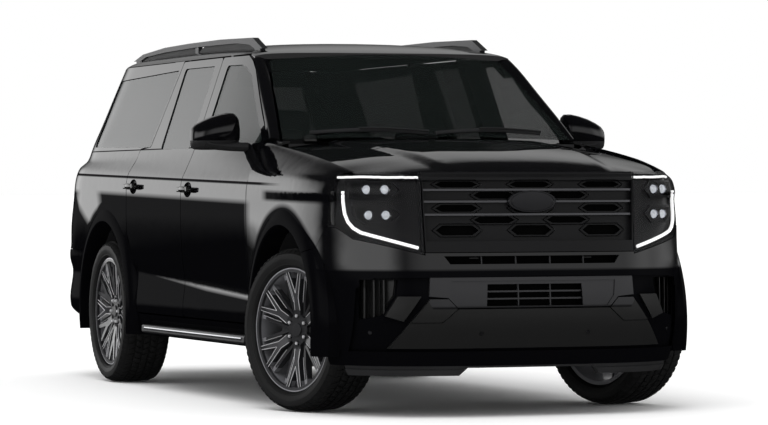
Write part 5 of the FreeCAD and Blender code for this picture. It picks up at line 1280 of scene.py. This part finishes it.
def rear_bar(name, node, ends, z, half_height, material, lift):
    """A bar on the rear skin from one Y to another, raised by lift and sunk by half of it."""
    rows = []
    for y in between(*ends, BAR_STEPS):
        where, _ = from_rear(node, y, z)
        if where is not None:
            rows.append([Vector((where.x - lift * out, y, z + half_height * up))
                         for out, up in ((-0.5, -1.0), (1.0, -0.7), (1.0, 0.7), (-0.5, 1.0))])
    mesh = bmesh.new()
    skin_rows(mesh, rows, True, True)
    piece(name, mesh, material, "liftgate" if node == "liftgate" else "body")


lamp_low, lamp_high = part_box("tail_lamps")
for tag, side in SIDES:
    for number, level in enumerate(STRIP_LEVELS):
        z = lamp_low[2] + (lamp_high[2] - lamp_low[2]) * level
        rear_bar(f"tail_strip_{tag}_{number}", "tail_lamps", (side * STRIP_FROM, side * STRIP_TO), z,
                 STRIP_HALF_HIGH, rear_red, STRIP_LIFT)
rear_bar("blank_plate", "liftgate", (-PLATE_HALF_WIDE, PLATE_HALF_WIDE), PLATE_LEVEL, PLATE_HALF_HIGH,
         plate_white, PLATE_LIFT)
rear_bar("gate_grip", "liftgate", (-HANDLE_HALF_WIDE, HANDLE_HALF_WIDE), HANDLE_LEVEL, HANDLE_HALF_HIGH,
         satin_trim, HANDLE_LIFT)
print("tail lamps from", [round(v, 2) for v in lamp_low], "to", [round(v, 2) for v in lamp_high])


# %% [markdown]
# The seats are closed blocks in the solids. Here each one becomes upholstery. The blocks of
# a row share one node, so they are first taken apart: from any point, walking along edges
# reaches all of one block and nothing of the next.

# %% Take the seats apart
SEAT_MERGE_WITHIN = 0.00005


def split_solids(obj):
    """The separate solids of one node, as vertex and face lists."""
    mesh = bmesh.new()
    mesh.from_mesh(obj.data)
    bmesh.ops.remove_doubles(mesh, verts=mesh.verts, dist=SEAT_MERGE_WITHIN)
    mesh.verts.ensure_lookup_table()
    seen = set()
    groups = []
    for seed in mesh.verts:
        if seed.index in seen:
            continue
        stack, group = [seed], []
        seen.add(seed.index)
        while stack:
            vertex = stack.pop()
            group.append(vertex.index)
            for edge in vertex.link_edges:
                other = edge.other_vert(vertex)
                if other.index not in seen:
                    seen.add(other.index)
                    stack.append(other)
        groups.append(set(group))
    parts = []
    for group in groups:
        order = {index: n for n, index in enumerate(sorted(group))}
        points = [mesh.verts[index].co.copy() for index in sorted(group)]
        faces = [[order[v.index] for v in face.verts] for face in mesh.faces if face.verts[0].index in group]
        parts.append((points, faces))
    mesh.free()
    return parts


print("solids in the front seats:", len(split_solids(nodes["seats_front"])))


# %% [markdown]
# A block is rebuilt from even faces and relaxed so that every edge turns round. Then it is
# swollen a little where the foam is thickest and pulled in along the stitched flutes. Only
# faces that look up, forwards or backwards are swollen, as those carry the foam.

# %% Padded seats
SEAT_VOXEL = 0.016
SEAT_SMOOTH = 5
FLUTE_PITCH = 0.085
FLUTE_SHARPNESS = 0.16
FOAM_SWELL = 0.004
SEAM_DEPTH = 0.005
SEAM_MARGIN = 0.3


def even_faces(name, points, faces):
    data = bpy.data.meshes.new(name)
    data.from_pydata(points, [], faces)
    carrier = bpy.data.objects.new(name, data)
    scene.collection.objects.link(carrier)
    remesh = carrier.modifiers.new("even faces", "REMESH")
    remesh.mode = "VOXEL"
    remesh.voxel_size = SEAT_VOXEL
    bpy.context.view_layer.update()
    even = bpy.data.meshes.new_from_object(carrier.evaluated_get(bpy.context.evaluated_depsgraph_get()))
    bpy.data.objects.remove(carrier)
    return even


def upholster(name, points, faces):
    mesh = bmesh.new()
    mesh.from_mesh(even_faces(name, points, faces))
    for _ in range(SEAT_SMOOTH):
        bmesh.ops.smooth_vert(mesh, verts=mesh.verts, factor=0.5, use_axis_x=True, use_axis_y=True,
                              use_axis_z=True)
    mesh.normal_update()
    left, right = max(v.co.y for v in mesh.verts), min(v.co.y for v in mesh.verts)
    shifts = []
    for vertex in mesh.verts:
        n = vertex.normal
        off_centre = vertex.co.y - (left + right) / 2.0
        thick = 1.0 - min(1.0, abs(off_centre) / max(0.05, (left - right) / 2.0)) ** 2
        seam = math.exp(-((abs(math.sin(math.pi * off_centre / FLUTE_PITCH)) / FLUTE_SHARPNESS) ** 2))
        faces_up = max(0.0, abs(n.x) if abs(n.x) > abs(n.z) else n.z)
        depth = SEAM_DEPTH if thick > SEAM_MARGIN else 0.0
        shifts.append(n * faces_up * (FOAM_SWELL * thick - depth * seam))
    for vertex, shift in zip(mesh.verts, shifts):
        vertex.co += shift
    return mesh


cushions = 0
for row in ("seats_front", "seats_middle", "seats_rear"):
    for number, (points, faces) in enumerate(split_solids(nodes[row])):
        mesh = upholster(row, points, faces)
        pad = piece(f"{row}_pad_{number}", mesh, seat_leather, "body", [row], 60.0)
        cushions += 1
print("seats upholstered:", cushions)


# %% [markdown]
# The studio is a pale floor that runs far beyond the picture, under a plain white sky. The
# floor takes the shadow and bounces soft light back. Reflections don't see it, because the
# paint would turn grey from below: they see the dome of the next step instead.

# %% Floor
FLOOR_REACH = 1500.0
FLOOR_LEVEL = -0.0005


def stage_object(name, mesh, material):
    """Scenery: in the picture, but no part of the vehicle."""
    mesh.materials.append(material)
    obj = bpy.data.objects.new(name, mesh)
    scene.collection.objects.link(obj)
    return obj


floor_finish = Finish("pale studio floor")
floor_tone = floor_finish.mix(floor_finish.noise(0.3, 2.0), (0.94, 0.94, 0.94), (0.96, 0.96, 0.96))
floor_finish.set(Base_Color=floor_tone, Roughness=0.9, Specular_IOR_Level=0.1)
floor_mesh = bpy.data.meshes.new("studio_floor")
floor_mesh.from_pydata([(x * FLOOR_REACH, y * FLOOR_REACH, FLOOR_LEVEL)
                        for x, y in ((-1, -1), (1, -1), (1, 1), (-1, 1))], [], [(0, 1, 2, 3)])
studio_floor = stage_object("studio_floor", floor_mesh, floor_finish.material)
studio_floor.visible_glossy = False
print("floor laid,", 2.0 * FLOOR_REACH, "m wide")


# %% [markdown]
# A black car is drawn only by what it mirrors. Photographers hang pale panels and dark flags
# round it, just out of the picture. One great dome stands in for them all: reflections see
# it and the camera doesn't. Each panel is a soft-edged patch with a compass direction, a
# half width, the heights where it fades in and out, all in degrees, and a brightness.

# %% Reflection dome
DOME_RADIUS = 60.0
DOME_BASE = 0.025
SIDE_FADE = (1.35, 0.65)
PANELS = [("flank", 206.0, 22.0, (-2.0, 0.6), (7.0, 30.0), 1.5),
          ("tail", 156.0, 26.0, (3.0, 21.0), (24.0, 40.0), 0.42),
          ("near side", 290.0, 34.0, (-1.0, 5.0), (12.0, 30.0), 1.7),
          ("nose", 20.0, 40.0, (0.0, 6.0), (14.0, 30.0), 0.7),
          ("far side", 90.0, 34.0, (1.0, 6.0), (14.0, 30.0), 0.9)]


def rise(value, low, high):
    """A smooth step from 0 at low to 1 at high."""
    t = ((value - low) / (high - low)).clamp()
    return t * t * (t * -2.0 + 3.0)


def dome_glow(f):
    """How bright the dome is in each direction from its centre."""
    unit = f.vector("NORMALIZE", f.add("ShaderNodeTexCoord", output="Object"))
    east, north, level = [f.add("ShaderNodeSeparateXYZ", output=i, Vector=unit) for i in range(3)]
    reach = (east * east + north * north).math("SQRT")
    glow = level * 0.0 + DOME_BASE
    for _, compass, half_width, fade_in, fade_out, brightness in PANELS:
        turn = math.radians(compass)
        facing = (east * math.cos(turn) + north * math.sin(turn)) / reach
        sideways = rise(facing, *(math.cos(math.radians(half_width * share)) for share in SIDE_FADE))
        from_below = rise(level, *(math.sin(math.radians(a)) for a in fade_in))
        to_top = 1.0 - rise(level, *(math.sin(math.radians(a)) for a in fade_out))
        glow = glow + sideways * from_below * to_top * brightness
    return glow


dome_finish = Finish("reflection dome")
dome_finish.set(Base_Color=(0.0, 0.0, 0.0), Roughness=1.0, Specular_IOR_Level=0.0)
dome_finish.set(Emission_Color=dome_glow(dome_finish), Emission_Strength=1.0)
dome_finish.material.cycles.emission_sampling = "NONE"
dome_shape = bmesh.new()
bmesh.ops.create_uvsphere(dome_shape, u_segments=96, v_segments=48, radius=DOME_RADIUS)
dome_mesh = bpy.data.meshes.new("reflection_dome")
dome_shape.to_mesh(dome_mesh)
dome_shape.free()
dome = stage_object("reflection_dome", dome_mesh, dome_finish.material)
for kind in ("camera", "diffuse", "shadow", "transmission", "volume_scatter"):
    setattr(dome, "visible_" + kind, False)
print("reflection dome made with the panels:", ", ".join(panel[0] for panel in PANELS))


# %% [markdown]
# The sky is plain white at a strength of 1, which is the white of the background. One very
# soft sun, from above and over the camera's shoulder, gives the shadow on the floor a
# direction. Reflections don't see it, so it leaves no hard spot on the paint.

# %% Sky and sun
world = bpy.data.worlds.new("soft studio sky")
scene.world = world
world.use_nodes = True
world.node_tree.nodes["Background"].inputs["Color"].default_value = (1.0, 1.0, 1.0, 1.0)
world.node_tree.nodes["Background"].inputs["Strength"].default_value = 1.0
sun = bpy.data.lights.new("soft_sun", "SUN")
sun.energy = 1.2
sun.angle = math.radians(40.0)
sun_object = bpy.data.objects.new("soft_sun", sun)
scene.collection.objects.link(sun_object)
sun_object.rotation_euler = (Vector((-0.45, 0.35, -1.0))).to_track_quat("-Z", "Y").to_euler()
sun_object.visible_glossy = False

# %% [markdown]
# The camera stands where the photograph's camera stood: far away, at the height of the hood
# and to the right of the nose, with a long lens that flattens the perspective. Its place and
# its three angles were fitted to the photograph, and the lens is kept a little shorter than
# the fitted one, so that the whole vehicle stays in the picture.

# %% Camera
CAMERA_PLACE = (20.394, -7.098, 1.112)
CAMERA_AZIMUTH = math.radians(70.28)
CAMERA_PITCH = math.radians(-0.296)
CAMERA_ROLL = math.radians(-0.17)
IMAGE_WIDTH = 768.0
FITTED_FOCAL = 3977.0
LENS_SHARE = 0.965
SENSOR_WIDTH = 36.0
FARTHEST_SEEN = 4000.0

camera_data = bpy.data.cameras.new("photo_camera")
camera_data.sensor_width = SENSOR_WIDTH
camera_data.lens = FITTED_FOCAL * LENS_SHARE / IMAGE_WIDTH * SENSOR_WIDTH
camera_data.clip_end = FARTHEST_SEEN
camera = bpy.data.objects.new("photo_camera", camera_data)
scene.collection.objects.link(camera)
level_reach = math.cos(CAMERA_PITCH)
look = Vector((-math.sin(CAMERA_AZIMUTH) * level_reach, math.cos(CAMERA_AZIMUTH) * level_reach,
               math.sin(CAMERA_PITCH)))
roll = Matrix.Rotation(CAMERA_ROLL, 3, "Z").to_quaternion()
camera.rotation_mode = "QUATERNION"
camera.rotation_quaternion = look.to_track_quat("-Z", "Y") @ roll
camera.location = CAMERA_PLACE
scene.camera = camera
scene.view_settings.view_transform = "Standard"
print("camera lens:", round(camera_data.lens, 1), "mm")
